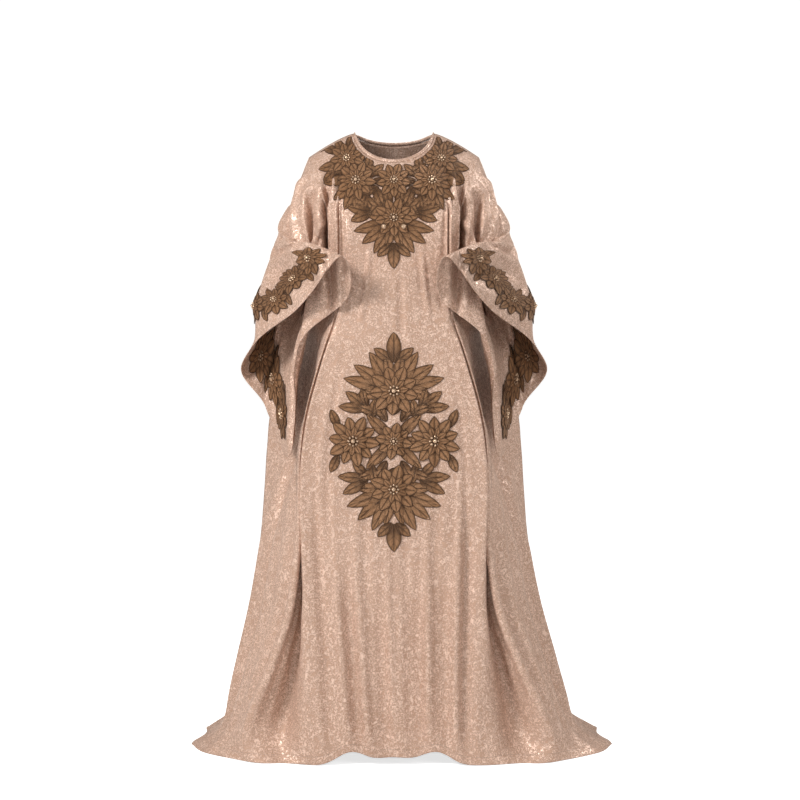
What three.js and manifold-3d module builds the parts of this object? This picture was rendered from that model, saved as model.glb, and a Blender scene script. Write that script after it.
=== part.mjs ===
// Embroidered kaftan, worn and open at the neck, sleeves and hem. Millimetres, +Z up, -Y is the front.
// Heights in the tables are above the floor; the last group moves the origin up between the shoulders.
import * as THREE from 'three';
import Module from 'manifold-3d';
import { mergeVertices } from 'three/addons/utils/BufferGeometryUtils.js';

const wasm = await Module();
wasm.setup();

const WALL = 1.8;            // cloth of the panels
const SEAM_GAP = 0.3;        // between pieces sewn together
const BEVEL = 2.6;           // how far a wall's inner edge stands back from its outer edge
const ORIGIN_HEIGHT = 1420;  // the held point, between the shoulders, above the floor
const NECK_HALF = 92;        // where the panels meet the neck band, to each side
const NECK_HEIGHT = 1425;
const FRONT_DROP = 72;
const BACK_DROP = 26;
const BAND_WIDTH = 9;        // the plain band inside the neck edge
const BAND_WALL = 2.6;
const TIP_X = 196;           // end of the shoulder seam
const TIP_HEIGHT = 1370;
const SEAM_Y = 6;            // depth of the shoulder seam
const DOME_HEIGHT = 1250;    // the cloth curves over the shoulders above this height
const UNDERARM_HEIGHT = 1000;
const NECK_AXIS_Y = -16;     // the neck opening leans in to this depth
const MEDALLION_HEIGHT = 728;
const LACE_WALL = 2.0;
const CENTRE_RISE = 2.0;     // a flower's beaded centre above the lace
const LACE_CLEARANCE = 1.2;
const LACE_FROM_NECK = 6;
const LACE_FROM_SEAM = 8;
const BAND_START = 66;       // first flower of a sleeve's band, from the top of the sleeve
const BAND_STEP = 83;
const OUTER_FLOWERS = 5;
const INNER_FLOWERS = 3;
const DRAPE_PASSES = 4;
const DRAPE_TOLERANCE = 0.75;

const CLOTH = { color: 0xc4a695, roughness: 0.42, metalness: 0.0 };
const LACE = { color: 0x6e4f38, roughness: 0.7, metalness: 0.0 };

// Rows of the grids: from hem to underarm, then from underarm to shoulder.
const LOW_ROWS = 12;
const HIGH_ROWS = 12;
const SHOULDER_COLUMNS = 5;
const SLEEVE_ROWS = 12;

function table(columns, rows) {
  return rows.map((row) => Object.fromEntries(columns.map((name, i) => [name, row[i]])));
}

// The front's cross-section at each height: half widths (X) and depths (Y, less is nearer the front).
// The apron is the flat front, then a trough, a ridge, the side that the sleeve hangs beside, the seam.
const FRONT = table(
  ['height', 'middleY', 'apronX', 'apronY', 'troughX', 'troughY', 'ridgeX', 'ridgeY', 'sideX', 'sideY',
    'edgeX', 'edgeY', 'shift'],
  [
    [0, -192, 188, -196, 262, -176, 332, -170, 432, -92, 494, 6, 18],
    [44, -188, 187, -190, 262, -146, 345, -146, 404, -70, 424, 22, 12],
    [116, -184, 188, -184, 254, -128, 326, -142, 372, -60, 392, 32, 8],
    [230, -178, 190, -174, 236, -124, 282, -144, 338, -58, 364, 46, 5],
    [340, -172, 193, -166, 214, -124, 246, -142, 308, -48, 340, 62, 2],
    [480, -166, 198, -158, 209, -124, 226, -142, 282, -36, 317, 76, 0],
    [600, -160, 203, -150, 209, -124, 219, -142, 248, -14, 308, 98, 0],
    [690, -156, 200, -146, 205, -122, 213, -138, 216, -4, 303, 116, 0],
    [790, -152, 186, -142, 191, -122, 200, -134, 199, -20, 290, 118, 0],
    [900, -148, 158, -138, 162, -122, 171, -130, 182, -42, 232, 94, 0],
    [950, -147, 142, -137, 147, -124, 156, -128, 176, -52, 207, 50, 0],
    [1000, -146, 124, -136, 131, -126, 140, -126, 176, -56, 216, 14, 0],
    [1060, -147, 114, -138, 123, -130, 131, -130, 146, -98, 160, -72, 0],
    [1120, -149, 108, -142, 119, -136, 128, -134, 137, -122, 146, -104, 0],
    [1190, -150, 104, -144, 117, -139, 127, -135, 137, -124, 145, -108, 0],
    [1250, -143, 102, -136, 116, -132, 127, -127, 139, -118, 150, -104, 0],
  ],
);

// The back's edge and middle at each height. Below the underarm the edge is the front's own edge.
const BACK = table(
  ['height', 'edgeX', 'edgeY', 'middleY'],
  [
    [0, 494, 6, 322],
    [44, 424, 22, 296],
    [116, 392, 32, 272],
    [230, 364, 46, 246],
    [340, 340, 62, 228],
    [480, 317, 76, 212],
    [600, 308, 98, 200],
    [690, 303, 116, 190],
    [790, 290, 118, 180],
    [900, 232, 94, 168],
    [950, 207, 50, 161],
    [1000, 216, 14, 154],
    [1060, 200, 66, 146],
    [1120, 186, 96, 138],
    [1190, 172, 104, 128],
    [1250, 166, 98, 120],
  ],
);

// Long folds of the back: place from edge (0) to middle (1), width in the same measure, depth at hem and
// at the top of the fold, and the height where it dies out.
const BACK_FOLDS = table(
  ['at', 'width', 'hemDepth', 'topDepth', 'top'],
  [
    [0.14, 0.055, -30, -10, 1050],
    [0.30, 0.055, 34, 14, 1180],
    [0.45, 0.060, -34, -12, 1120],
    [0.62, 0.060, 30, 12, 1240],
    [0.78, 0.060, -32, -12, 1200],
    [0.93, 0.055, 24, 8, 1260],
  ],
);

// Soft ripples of the front apron, by X; a positive depth is a trough.
const APRON_FOLDS = table(
  ['x', 'width', 'depth', 'bottom', 'top'],
  [
    [-150, 26, 7, 0, 640],
    [-96, 26, 9, 0, 500],
    [-34, 28, 6, 0, 380],
    [44, 28, 8, 0, 440],
    [104, 26, 9, 0, 520],
    [158, 24, 7, 0, 620],
  ],
);

// Lines down the left sleeve, each from the armhole to the hem: the point on each of four sections.
// The first stands at the underarm, the fifth on top of the sleeve, the others go round behind it.
const SLEEVE_LINES = table(
  ['line', 'upperArm', 'elbow', 'forearm', 'hem'],
  [
    ['underarm seam', [-238, -2, 905], [-240, -24, 800], [-243, -40, 738], [-243, -52, 682]],
    ['inside, low', [-194, -72, 976], [-222, -72, 892], [-228, -74, 846], [-230, -78, 800]],
    ['inside, middle', [-168, -118, 1146], [-196, -116, 1044], [-204, -116, 994], [-210, -116, 950]],
    ['inside, high', [-188, -92, 1252], [-188, -108, 1142], [-142, -152, 1094], [-101, -166, 1052]],
    ['top of the sleeve', [-235, -10, 1272], [-258, -48, 1184], [-186, -158, 1170], [-116, -245, 1141]],
    ['outside, high', [-238, 44, 1212], [-282, 10, 1092], [-254, -78, 1056], [-220, -142, 1018]],
    ['outer tip', [-240, 92, 1096], [-304, 58, 994], [-332, 44, 938], [-356, 30, 892]],
    ['outside, low', [-252, 64, 985], [-276, 74, 884], [-290, 74, 834], [-300, 66, 788]],
  ],
);

// Folds laid on the sleeves: place round the ring (0 underarm, 0.5 on top of the sleeve), its change from
// armhole to hem, width, depth, and the stretch from armhole (0) to hem (1).
const SLEEVE_FOLDS = table(
  ['at', 'turn', 'width', 'depth', 'from', 'to'],
  [
    [0.35, 0.02, 0.045, -9, 0.05, 0.62],
    [0.43, 0.02, 0.040, 7, 0.05, 0.60],
    [0.57, 0.03, 0.045, -8, 0.10, 0.80],
    [0.67, 0.02, 0.050, 7, 0.20, 1.00],
    [0.84, 0.00, 0.050, -9, 0.20, 1.00],
    [0.10, 0.00, 0.050, 7, 0.30, 1.00],
  ],
);

const lerp = THREE.MathUtils.lerp;
const bell = (offset, width) => Math.exp(-((offset / width) ** 2));
const ramp = (value, from, to) => THREE.MathUtils.smoothstep(value, from, to);

// Smooth curve through values at uneven stops.
function through(stops, values, at) {
  const last = stops.length - 1;
  const place = THREE.MathUtils.clamp(at, stops[0], stops[last]);
  let k = 0;
  while (k < last - 1 && place > stops[k + 1]) k += 1;
  const slope = (i) => {
    const a = Math.max(i - 1, 0);
    const b = Math.min(i + 1, last);
    return (values[b] - values[a]) / (stops[b] - stops[a]);
  };
  const span = stops[k + 1] - stops[k];
  const t = (place - stops[k]) / span;
  const t2 = t * t;
  const t3 = t2 * t;
  return values[k] * (2 * t3 - 3 * t2 + 1) + values[k + 1] * (3 * t2 - 2 * t3)
    + span * (slope(k) * (t3 - 2 * t2 + t) + slope(k + 1) * (t3 - t2));
}

const column = (rows, name) => rows.map((row) => row[name]);
const sectionValue = (rows, name, height) => through(column(rows, 'height'), column(rows, name), height);

// Places of the front's stations from the middle (0) to the edge (1), and how many columns lie between.
const STATIONS = [0, 0.42, 0.54, 0.66, 0.82, 1];
const STATION_COLUMNS = [6, 2, 2, 3, 4];
const BACK_COLUMNS = 16;

function frontStops() {
  const stops = [0];
  STATION_COLUMNS.forEach((count, k) => {
    for (let i = 1; i <= count; i += 1) stops.push(lerp(STATIONS[k], STATIONS[k + 1], i / count));
  });
  return stops;
}

function frontSection(s, height) {
  const names = ['apron', 'trough', 'ridge', 'side', 'edge'];
  const xs = [0, ...names.map((name) => sectionValue(FRONT, `${name}X`, height))];
  const ys = [sectionValue(FRONT, 'middleY', height), ...names.map((n) => sectionValue(FRONT, `${n}Y`, height))];
  const mirrored = (values, sign) => [sign * values[1], ...values];
  const stops = [-STATIONS[1], ...STATIONS];
  return { x: through(stops, mirrored(xs, -1), s), y: through(stops, mirrored(ys, 1), s) };
}

function apronRipple(x, height) {
  return APRON_FOLDS.reduce((sum, fold) => {
    const fade = 1 - ramp(height, lerp(fold.bottom, fold.top, 0.4), fold.top);
    return sum + fold.depth * bell(x - fold.x, fold.width) * fade;
  }, 0);
}

function backSection(s, height) {
  const edgeX = sectionValue(BACK, 'edgeX', height);
  const edgeY = sectionValue(BACK, 'edgeY', height);
  const middleY = sectionValue(BACK, 'middleY', height);
  const turn = (1 - s) * Math.PI / 2;
  const point = new THREE.Vector2(edgeX * Math.cos(turn) ** 0.86, lerp(edgeY, middleY, Math.sin(turn) ** 0.9));
  const outward = new THREE.Vector2(0.7 * Math.cos(turn), Math.sin(turn) + 0.15).normalize();
  BACK_FOLDS.forEach((fold) => {
    const fade = 1 - ramp(height, fold.top - 220, fold.top);
    const depth = lerp(fold.hemDepth, fold.topDepth, Math.min(height / 900, 1));
    point.addScaledVector(outward, depth * fade * bell((1 - s) - fold.at, fold.width));
  });
  return point;
}

const apexHeight = (x) => {
  const beyond = Math.abs(x) - NECK_HALF;
  if (beyond < 0) return NECK_HEIGHT - beyond * 0.15;
  return lerp(NECK_HEIGHT, TIP_HEIGHT, (beyond / (TIP_X - NECK_HALF)) ** 1.3);
};

// The top edge of a panel: half the neckline, then the shoulder seam.
function topEdge(j, count, drop) {
  const neckCount = count - SHOULDER_COLUMNS;
  if (j <= neckCount) {
    const turn = (j / neckCount) * Math.PI / 2;
    return { x: NECK_HALF * Math.sin(turn), height: NECK_HEIGHT - drop * Math.cos(turn) };
  }
  const x = lerp(NECK_HALF, TIP_X, (j - neckCount) / SHOULDER_COLUMNS);
  return { x, height: apexHeight(x) };
}

function overShoulder(start, x, height) {
  const rise = THREE.MathUtils.clamp((height - DOME_HEIGHT) / (apexHeight(x) - DOME_HEIGHT), 0, 1);
  return SEAM_Y + (start - SEAM_Y) * (1 - rise ** 1.6) ** 0.75;
}

const lowHeight = (row) => UNDERARM_HEIGHT * (row / LOW_ROWS) ** 1.3;

// The hem clears the floor in front and lies on it at the sides and behind.
const hemLift = (x) => 18 * bell(x, 60) + 30 * bell(Math.abs(x) - 96, 44);

function panelPoint(section, s, j, count, drop, row, side, lift) {
  const top = topEdge(j, count, drop);
  if (row <= LOW_ROWS) {
    const height = lowHeight(row);
    const { x, y } = section(s, height);
    const shift = sectionValue(FRONT, 'shift', height);
    const raised = height + lift(x * side) * (1 - ramp(height, 0, 200));
    return new THREE.Vector3(side * x + shift, y, raised);
  }
  const part = (row - LOW_ROWS) / HIGH_ROWS;
  const height = lerp(UNDERARM_HEIGHT, top.height, part);
  if (height <= DOME_HEIGHT) {
    const { x, y } = section(s, height);
    return new THREE.Vector3(side * x, y, height);
  }
  const start = section(s, DOME_HEIGHT);
  const x = lerp(start.x, top.x, (height - DOME_HEIGHT) / (top.height - DOME_HEIGHT));
  return new THREE.Vector3(side * x, overShoulder(start.y, x, height), height);
}

// A panel's grid of outer points: rows from hem to shoulder, columns from the left edge to the right.
function panelGrid(section, stops, drop, ripple, lift) {
  const count = stops.length - 1;
  const grid = [];
  for (let row = 0; row <= LOW_ROWS + HIGH_ROWS; row += 1) {
    const line = [];
    for (let j = -count; j <= count; j += 1) {
      const point = panelPoint(section, stops[Math.abs(j)], Math.abs(j), count, drop, row, Math.sign(j) || 1, lift);
      point.y += ripple(point.x, point.z);
      line.push(point);
    }
    grid.push(line);
  }
  return grid;
}

const frontGrid = panelGrid(frontSection, frontStops(), FRONT_DROP, apronRipple, hemLift);
const backStops = Array.from({ length: BACK_COLUMNS + 1 }, (_, j) => j / BACK_COLUMNS);
const backGrid = panelGrid(backSection, backStops, BACK_DROP, () => 0, () => 0);

// Moves a grid's edge points a hair away from the neighbour's edge, along the cloth.
function pullBack(point, neighbour, distance) {
  const along = neighbour.clone().sub(point);
  return point.clone().addScaledVector(along.normalize(), distance);
}

// The back meets the front on shared points at its side seams and shoulders, less the seam's gap.
function joinBackToFront() {
  const lastFront = frontGrid[0].length - 1;
  const lastBack = backGrid[0].length - 1;
  for (let row = 0; row <= LOW_ROWS; row += 1) {
    backGrid[row][0] = pullBack(frontGrid[row][0], backGrid[row][1], SEAM_GAP);
    backGrid[row][lastBack] = pullBack(frontGrid[row][lastFront], backGrid[row][lastBack - 1], SEAM_GAP);
  }
  const top = LOW_ROWS + HIGH_ROWS;
  for (let j = 0; j <= SHOULDER_COLUMNS; j += 1) {
    const below = backGrid[top - 1];
    backGrid[top][j] = pullBack(frontGrid[top][j], below[j], SEAM_GAP);
    backGrid[top][lastBack - j] = pullBack(frontGrid[top][lastFront - j], below[lastBack - j], SEAM_GAP);
  }
}
joinBackToFront();

function gridNormals(grid, closed) {
  const columns = grid[0].length;
  const at = (row, j) => {
    if (closed) return grid[row][(j + columns) % columns];
    return grid[row][THREE.MathUtils.clamp(j, 0, columns - 1)];
  };
  return grid.map((line, row) => line.map((_, j) => {
    const across = at(row, j + 1).clone().sub(at(row, j - 1));
    const up = at(Math.min(row + 1, grid.length - 1), j).clone().sub(at(Math.max(row - 1, 0), j));
    return across.cross(up).normalize();
  }));
}

// A wall of cloth behind a grid of outer points. Its inner edges stand back by the bevel.
function wall(grid, closed, thickness, bevel = BEVEL) {
  const normals = gridNormals(grid, closed);
  const rows = grid.length;
  const columns = grid[0].length;
  const positions = [];
  const index = [];
  const outer = (row, j) => row * columns + ((j + columns) % columns);
  const inner = (row, j) => rows * columns + outer(row, j);
  grid.forEach((line) => line.forEach((p) => positions.push(p.x, p.y, p.z)));
  grid.forEach((line, row) => line.forEach((p, j) => {
    const point = p.clone().addScaledVector(normals[row][j], -thickness);
    if (row === 0) point.addScaledVector(grid[1][j].clone().sub(p).normalize(), bevel);
    if (row === rows - 1) point.addScaledVector(grid[rows - 2][j].clone().sub(p).normalize(), bevel);
    if (!closed && j === 0) point.addScaledVector(line[1].clone().sub(p).normalize(), bevel);
    if (!closed && j === columns - 1) point.addScaledVector(line[j - 1].clone().sub(p).normalize(), bevel);
    positions.push(point.x, point.y, Math.max(point.z, 0));
  }));
  const quad = (a, b, c, d) => index.push(a, b, d, b, c, d);
  const lastColumn = closed ? columns : columns - 1;
  for (let row = 0; row < rows - 1; row += 1) {
    for (let j = 0; j < lastColumn; j += 1) {
      quad(outer(row, j), outer(row, j + 1), outer(row + 1, j + 1), outer(row + 1, j));
      quad(inner(row, j), inner(row + 1, j), inner(row + 1, j + 1), inner(row, j + 1));
    }
    if (!closed) {
      quad(outer(row, 0), outer(row + 1, 0), inner(row + 1, 0), inner(row, 0));
      const e = columns - 1;
      quad(outer(row, e), inner(row, e), inner(row + 1, e), outer(row + 1, e));
    }
  }
  for (let j = 0; j < lastColumn; j += 1) {
    quad(outer(0, j), inner(0, j), inner(0, j + 1), outer(0, j + 1));
    quad(outer(rows - 1, j), outer(rows - 1, j + 1), inner(rows - 1, j + 1), inner(rows - 1, j));
  }
  const geometry = new THREE.BufferGeometry();
  geometry.setAttribute('position', new THREE.Float32BufferAttribute(positions, 3));
  geometry.setIndex(index);
  return geometry;
}

const reversed = (grid) => grid.map((line) => [...line].reverse());

// The armhole's points, from the underarm up the front edge and down the back edge.
function armhole(side) {
  const points = [];
  const edge = (grid, row) => grid[row][side < 0 ? 0 : grid[row].length - 1];
  for (let k = 0; k <= HIGH_ROWS; k += 1) points.push(edge(frontGrid, LOW_ROWS + k));
  for (let k = HIGH_ROWS - 1; k > 0; k -= 1) points.push(edge(backGrid, LOW_ROWS + k));
  return points;
}

const SLEEVE_STOPS = [0, 0.34, 0.62, 0.82, 1];

function sleeveLinePoint(name, place) {
  const curve = new THREE.CatmullRomCurve3(
    SLEEVE_LINES.map((row) => new THREE.Vector3(...row[name])), true, 'catmullrom', 0.5,
  );
  return curve.getPoint(place);
}

function sleeveGrid(side) {
  const start = armhole(side);
  const around = start.length;
  const names = ['upperArm', 'elbow', 'forearm', 'hem'];
  const grid = Array.from({ length: SLEEVE_ROWS + 1 }, () => []);
  for (let i = 0; i < around; i += 1) {
    const keys = [start[i], ...names.map((name) => {
      const point = sleeveLinePoint(name, i / around);
      point.x *= -side;
      return point;
    })];
    for (let row = 0; row <= SLEEVE_ROWS; row += 1) {
      const v = row / SLEEVE_ROWS;
      const at = (axis) => through(SLEEVE_STOPS, keys.map((key) => key[axis]), v);
      grid[row].push(new THREE.Vector3(at('x'), at('y'), at('z')));
    }
  }
  grid[0] = start.map((point, i) => pullBack(point, grid[1][i], SEAM_GAP));
  return grid;
}

function foldSleeve(grid, outward) {
  const normals = gridNormals(grid, true);
  return grid.map((line, row) => line.map((point, i) => {
    const v = row / SLEEVE_ROWS;
    const depth = SLEEVE_FOLDS.reduce((sum, fold) => {
      const offset = Math.abs(i / line.length - fold.at - fold.turn * v);
      const fade = ramp(v, fold.from, fold.from + 0.2) * (1 - ramp(v, fold.to, fold.to + 0.15));
      return sum + fold.depth * bell(Math.min(offset, 1 - offset), fold.width) * fade;
    }, 0);
    return point.clone().addScaledVector(normals[row][i], depth * outward);
  }));
}

const leftSleeve = foldSleeve(sleeveGrid(-1), 1);
const rightSleeve = reversed(foldSleeve(sleeveGrid(1), -1));

// The neck band rises from the panels' neck edges, leaning in to the neck.
function neckBandGrid() {
  const top = LOW_ROWS + HIGH_ROWS;
  const neckPart = (line) => line.slice(SHOULDER_COLUMNS, line.length - SHOULDER_COLUMNS);
  const edge = [...neckPart(frontGrid[top]), ...neckPart(backGrid[top]).reverse().slice(1, -1)];
  const axis = new THREE.Vector3(0, NECK_AXIS_Y, 0);
  const rise = edge.map((point) => {
    const lean = axis.clone().sub(point).setZ(0).normalize();
    return lean.multiplyScalar(0.55).setZ(0.84).normalize();
  });
  const line = (distance) => edge.map((point, i) => point.clone().addScaledVector(rise[i], distance));
  return [line(SEAM_GAP), line(BAND_WIDTH)];
}

// Flat lace, drawn in millimetres and joined into one sheet: flowers, leaves and domed flower centres.
function sheetOf(outline, thickness) {
  const shape = new THREE.Shape(outline);
  const raw = new THREE.ExtrudeGeometry(shape, { depth: thickness, bevelEnabled: false });
  raw.deleteAttribute('normal');
  raw.deleteAttribute('uv');
  const merged = mergeVertices(raw, 1e-4);
  const mesh = new wasm.Mesh({
    numProp: 3,
    vertProperties: new Float32Array(merged.attributes.position.array),
    triVerts: new Uint32Array(merged.index.array),
  });
  return new wasm.Manifold(mesh);
}

const polar = (x, y, angle, length) => new THREE.Vector2(x + length * Math.cos(angle), y + length * Math.sin(angle));

// Three outline points to a petal: the notch and two shoulders.
const PETAL_REACH = [0.68, 1, 1];
const PETAL_TURN = [0, 0.36, 0.64];

function flower({ x, y, radius, petals = 8, turn = 0 }) {
  const outline = [];
  for (let k = 0; k < petals; k += 1) {
    PETAL_REACH.forEach((reach, i) => {
      outline.push(polar(x, y, turn + ((k + PETAL_TURN[i]) / petals) * 2 * Math.PI, radius * reach));
    });
  }
  const centre = Array.from({ length: 6 }, (_, i) => polar(x, y, (i / 6) * 2 * Math.PI, radius * 0.26));
  return sheetOf(outline, LACE_WALL).add(sheetOf(centre, LACE_WALL + CENTRE_RISE));
}

const LEAF_ALONG = [0, 0.3, 0.68, 1, 0.68, 0.3];
const LEAF_ACROSS = [0, 0.9, 0.8, 0, -0.8, -0.9];

function leaf({ x, y, angle, length, width }) {
  const outline = LEAF_ALONG.map((along, i) => {
    const point = polar(x, y, angle, along * length);
    return polar(point.x, point.y, angle + Math.PI / 2, LEAF_ACROSS[i] * width / 2);
  });
  return sheetOf(outline, LACE_WALL);
}

const both = (motif, place) => [motif(place), motif({ ...place, x: -place.x, angle: Math.PI - (place.angle ?? 0) })];
const degrees = THREE.MathUtils.degToRad;

// A fan of leaves about a direction, longest in the middle.
function fan({ x, y, direction, spread, count, middle, side, width }) {
  return Array.from({ length: count }, (_, i) => {
    const across = (i / (count - 1)) * 2 - 1;
    const angle = degrees(direction + across * spread);
    return leaf({ x, y, angle, length: lerp(middle, side, Math.abs(across) ** 0.8), width });
  });
}

const join = (pieces) => pieces.reduce((sum, piece) => sum.add(piece));

// Splits the flat lace's triangles until each follows the cloth, then lays them on it.
function drape(flat, place) {
  const mesh = flat.getMesh();
  const points = [];
  for (let i = 0; i < mesh.vertProperties.length; i += mesh.numProp) {
    points.push(new THREE.Vector3(...mesh.vertProperties.slice(i, i + 3)));
  }
  const onCloth = (p) => {
    const { point, normal } = place(p.x, p.y);
    return { laid: point.clone().addScaledVector(normal, LACE_CLEARANCE + p.z), normal };
  };
  const placed = points.map(onCloth);
  let triangles = [];
  for (let i = 0; i < mesh.triVerts.length; i += 3) triangles.push([...mesh.triVerts.slice(i, i + 3)]);
  for (let pass = 0; pass < DRAPE_PASSES; pass += 1) {
    const middles = new Map();
    const middle = (a, b) => {
      const key = a < b ? `${a},${b}` : `${b},${a}`;
      if (!middles.has(key)) {
        const sunk = (t) => {
          const cloth = onCloth(points[a].clone().lerp(points[b], t));
          const chord = placed[a].laid.clone().lerp(placed[b].laid, t);
          return cloth.laid.clone().sub(chord).dot(cloth.normal) > DRAPE_TOLERANCE;
        };
        const split = [0.25, 0.5, 0.75].some(sunk);
        if (split) {
          points.push(points[a].clone().lerp(points[b], 0.5));
          placed.push(onCloth(points[points.length - 1]));
        }
        middles.set(key, split ? points.length - 1 : -1);
      }
      return middles.get(key);
    };
    triangles = triangles.flatMap((triangle) => splitTriangle(triangle, middle));
  }
  return closedGeometry(placed.map(({ laid }) => laid), triangles);
}

function splitTriangle([a, b, c], middle) {
  const ab = middle(a, b);
  const bc = middle(b, c);
  const ca = middle(c, a);
  const count = [ab, bc, ca].filter((m) => m >= 0).length;
  if (count === 0) return [[a, b, c]];
  if (count === 3) return [[a, ab, ca], [ab, b, bc], [ca, bc, c], [ab, bc, ca]];
  if (count === 1) {
    if (ab >= 0) return [[a, ab, c], [ab, b, c]];
    if (bc >= 0) return [[b, bc, a], [bc, c, a]];
    return [[c, ca, b], [ca, a, b]];
  }
  if (ca < 0) return [[ab, b, bc], [a, ab, bc], [a, bc, c]];
  if (ab < 0) return [[bc, c, ca], [b, bc, ca], [b, ca, a]];
  return [[ca, a, ab], [c, ca, ab], [c, ab, b]];
}

function closedGeometry(points, triangles) {
  const volume = triangles.reduce((sum, [a, b, c]) => sum + points[a].dot(points[b].clone().cross(points[c])), 0);
  const index = triangles.flatMap(([a, b, c]) => (volume > 0 ? [a, b, c] : [a, c, b]));
  const geometry = new THREE.BufferGeometry();
  geometry.setAttribute('position', new THREE.Float32BufferAttribute(points.flatMap((p) => p.toArray()), 3));
  geometry.setIndex(index);
  return geometry;
}

// The point of a grid's outer face at a fractional column and row, on the wall's own triangles.
function onGrid(grid, normals, u, v) {
  const columns = grid[0].length;
  const row = Math.min(Math.floor(v), grid.length - 2);
  const j = Math.floor(u);
  const fu = u - j;
  const fv = v - row;
  const corner = (r, k) => [r, (k + columns) % columns];
  const [first, second, third, a, b, c] = fu + fv < 1
    ? [corner(row, j), corner(row, j + 1), corner(row + 1, j), 1 - fu - fv, fu, fv]
    : [corner(row + 1, j + 1), corner(row, j + 1), corner(row + 1, j), fu + fv - 1, 1 - fv, 1 - fu];
  const mix = (source) => new THREE.Vector3()
    .addScaledVector(source[first[0]][first[1]], a)
    .addScaledVector(source[second[0]][second[1]], b)
    .addScaledVector(source[third[0]][third[1]], c);
  return { point: mix(grid), normal: mix(normals).normalize() };
}

const frontNormals = gridNormals(frontGrid, false);

// The front panel's outer point straight behind a place of the front view.
function onFront(x, height) {
  let best = null;
  for (let row = 0; row < frontGrid.length - 1; row += 1) {
    for (let j = 0; j < frontGrid[0].length - 1; j += 1) {
      for (const upper of [false, true]) {
        const [p, q, r] = upper
          ? [[row + 1, j + 1], [row, j + 1], [row + 1, j]] : [[row, j], [row, j + 1], [row + 1, j]];
        const [a, b, c] = [p, q, r].map(([i, k]) => frontGrid[i][k]);
        const area = (b.x - a.x) * (c.z - a.z) - (c.x - a.x) * (b.z - a.z);
        const fb = ((x - a.x) * (c.z - a.z) - (c.x - a.x) * (height - a.z)) / area;
        const fc = ((b.x - a.x) * (height - a.z) - (x - a.x) * (b.z - a.z)) / area;
        if (fb > -1e-6 && fc > -1e-6 && fb + fc < 1 + 1e-6) {
          const y = a.y + (b.y - a.y) * fb + (c.y - a.y) * fc;
          if (!best || y < best.point.y) {
            const normal = new THREE.Vector3();
            [p, q, r].forEach(([i, k], n) => normal.addScaledVector(frontNormals[i][k], [1 - fb - fc, fb, fc][n]));
            best = { point: new THREE.Vector3(x, y, height), normal: normal.normalize() };
          }
        }
      }
    }
  }
  return best;
}

// Lace of the skirt: four large flowers about a small one, with a fan of leaves above and below.
function skirtLace() {
  const at = (motif, place) => motif({ ...place, y: place.y + MEDALLION_HEIGHT });
  const flowers = [
    at(flower, { x: 0, y: 0, radius: 38, turn: 0.2 }),
    at(flower, { x: 0, y: 112, radius: 55, turn: 0.1 }),
    at(flower, { x: 0, y: -112, radius: 55, turn: 0.3 }),
    at(flower, { x: 92, y: 0, radius: 54, turn: 0 }),
    at(flower, { x: -92, y: 0, radius: 54, turn: 0 }),
  ];
  const fans = [90, -90].flatMap((direction) => fan({
    x: 0, y: MEDALLION_HEIGHT + Math.sign(direction) * 112, direction, spread: 76, count: 9,
    middle: 136, side: 116, width: 36,
  }));
  const sprigs = [
    { x: 92, y: 20, angle: degrees(62), length: 88, width: 26 },
    { x: 92, y: -20, angle: degrees(-62), length: 88, width: 26 },
    { x: 104, y: 30, angle: degrees(34), length: 52, width: 22 },
    { x: 104, y: -30, angle: degrees(-34), length: 52, width: 22 },
    { x: 76, y: 30, angle: degrees(112), length: 62, width: 24 },
    { x: 76, y: -30, angle: degrees(-112), length: 62, width: 24 },
    { x: 0, y: 0, angle: degrees(45), length: 92, width: 26 },
    { x: 0, y: 0, angle: degrees(-45), length: 92, width: 26 },
    { x: 20, y: 0, angle: 0, length: 40, width: 18 },
  ].flatMap((place) => both(leaf, { ...place, y: place.y + MEDALLION_HEIGHT }));
  const stems = [90, -90].map((turn) => at(leaf, { x: 0, y: 0, angle: degrees(turn), length: 72, width: 18 }));
  return join([...flowers, ...fans, ...sprigs, ...stems]);
}

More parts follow.
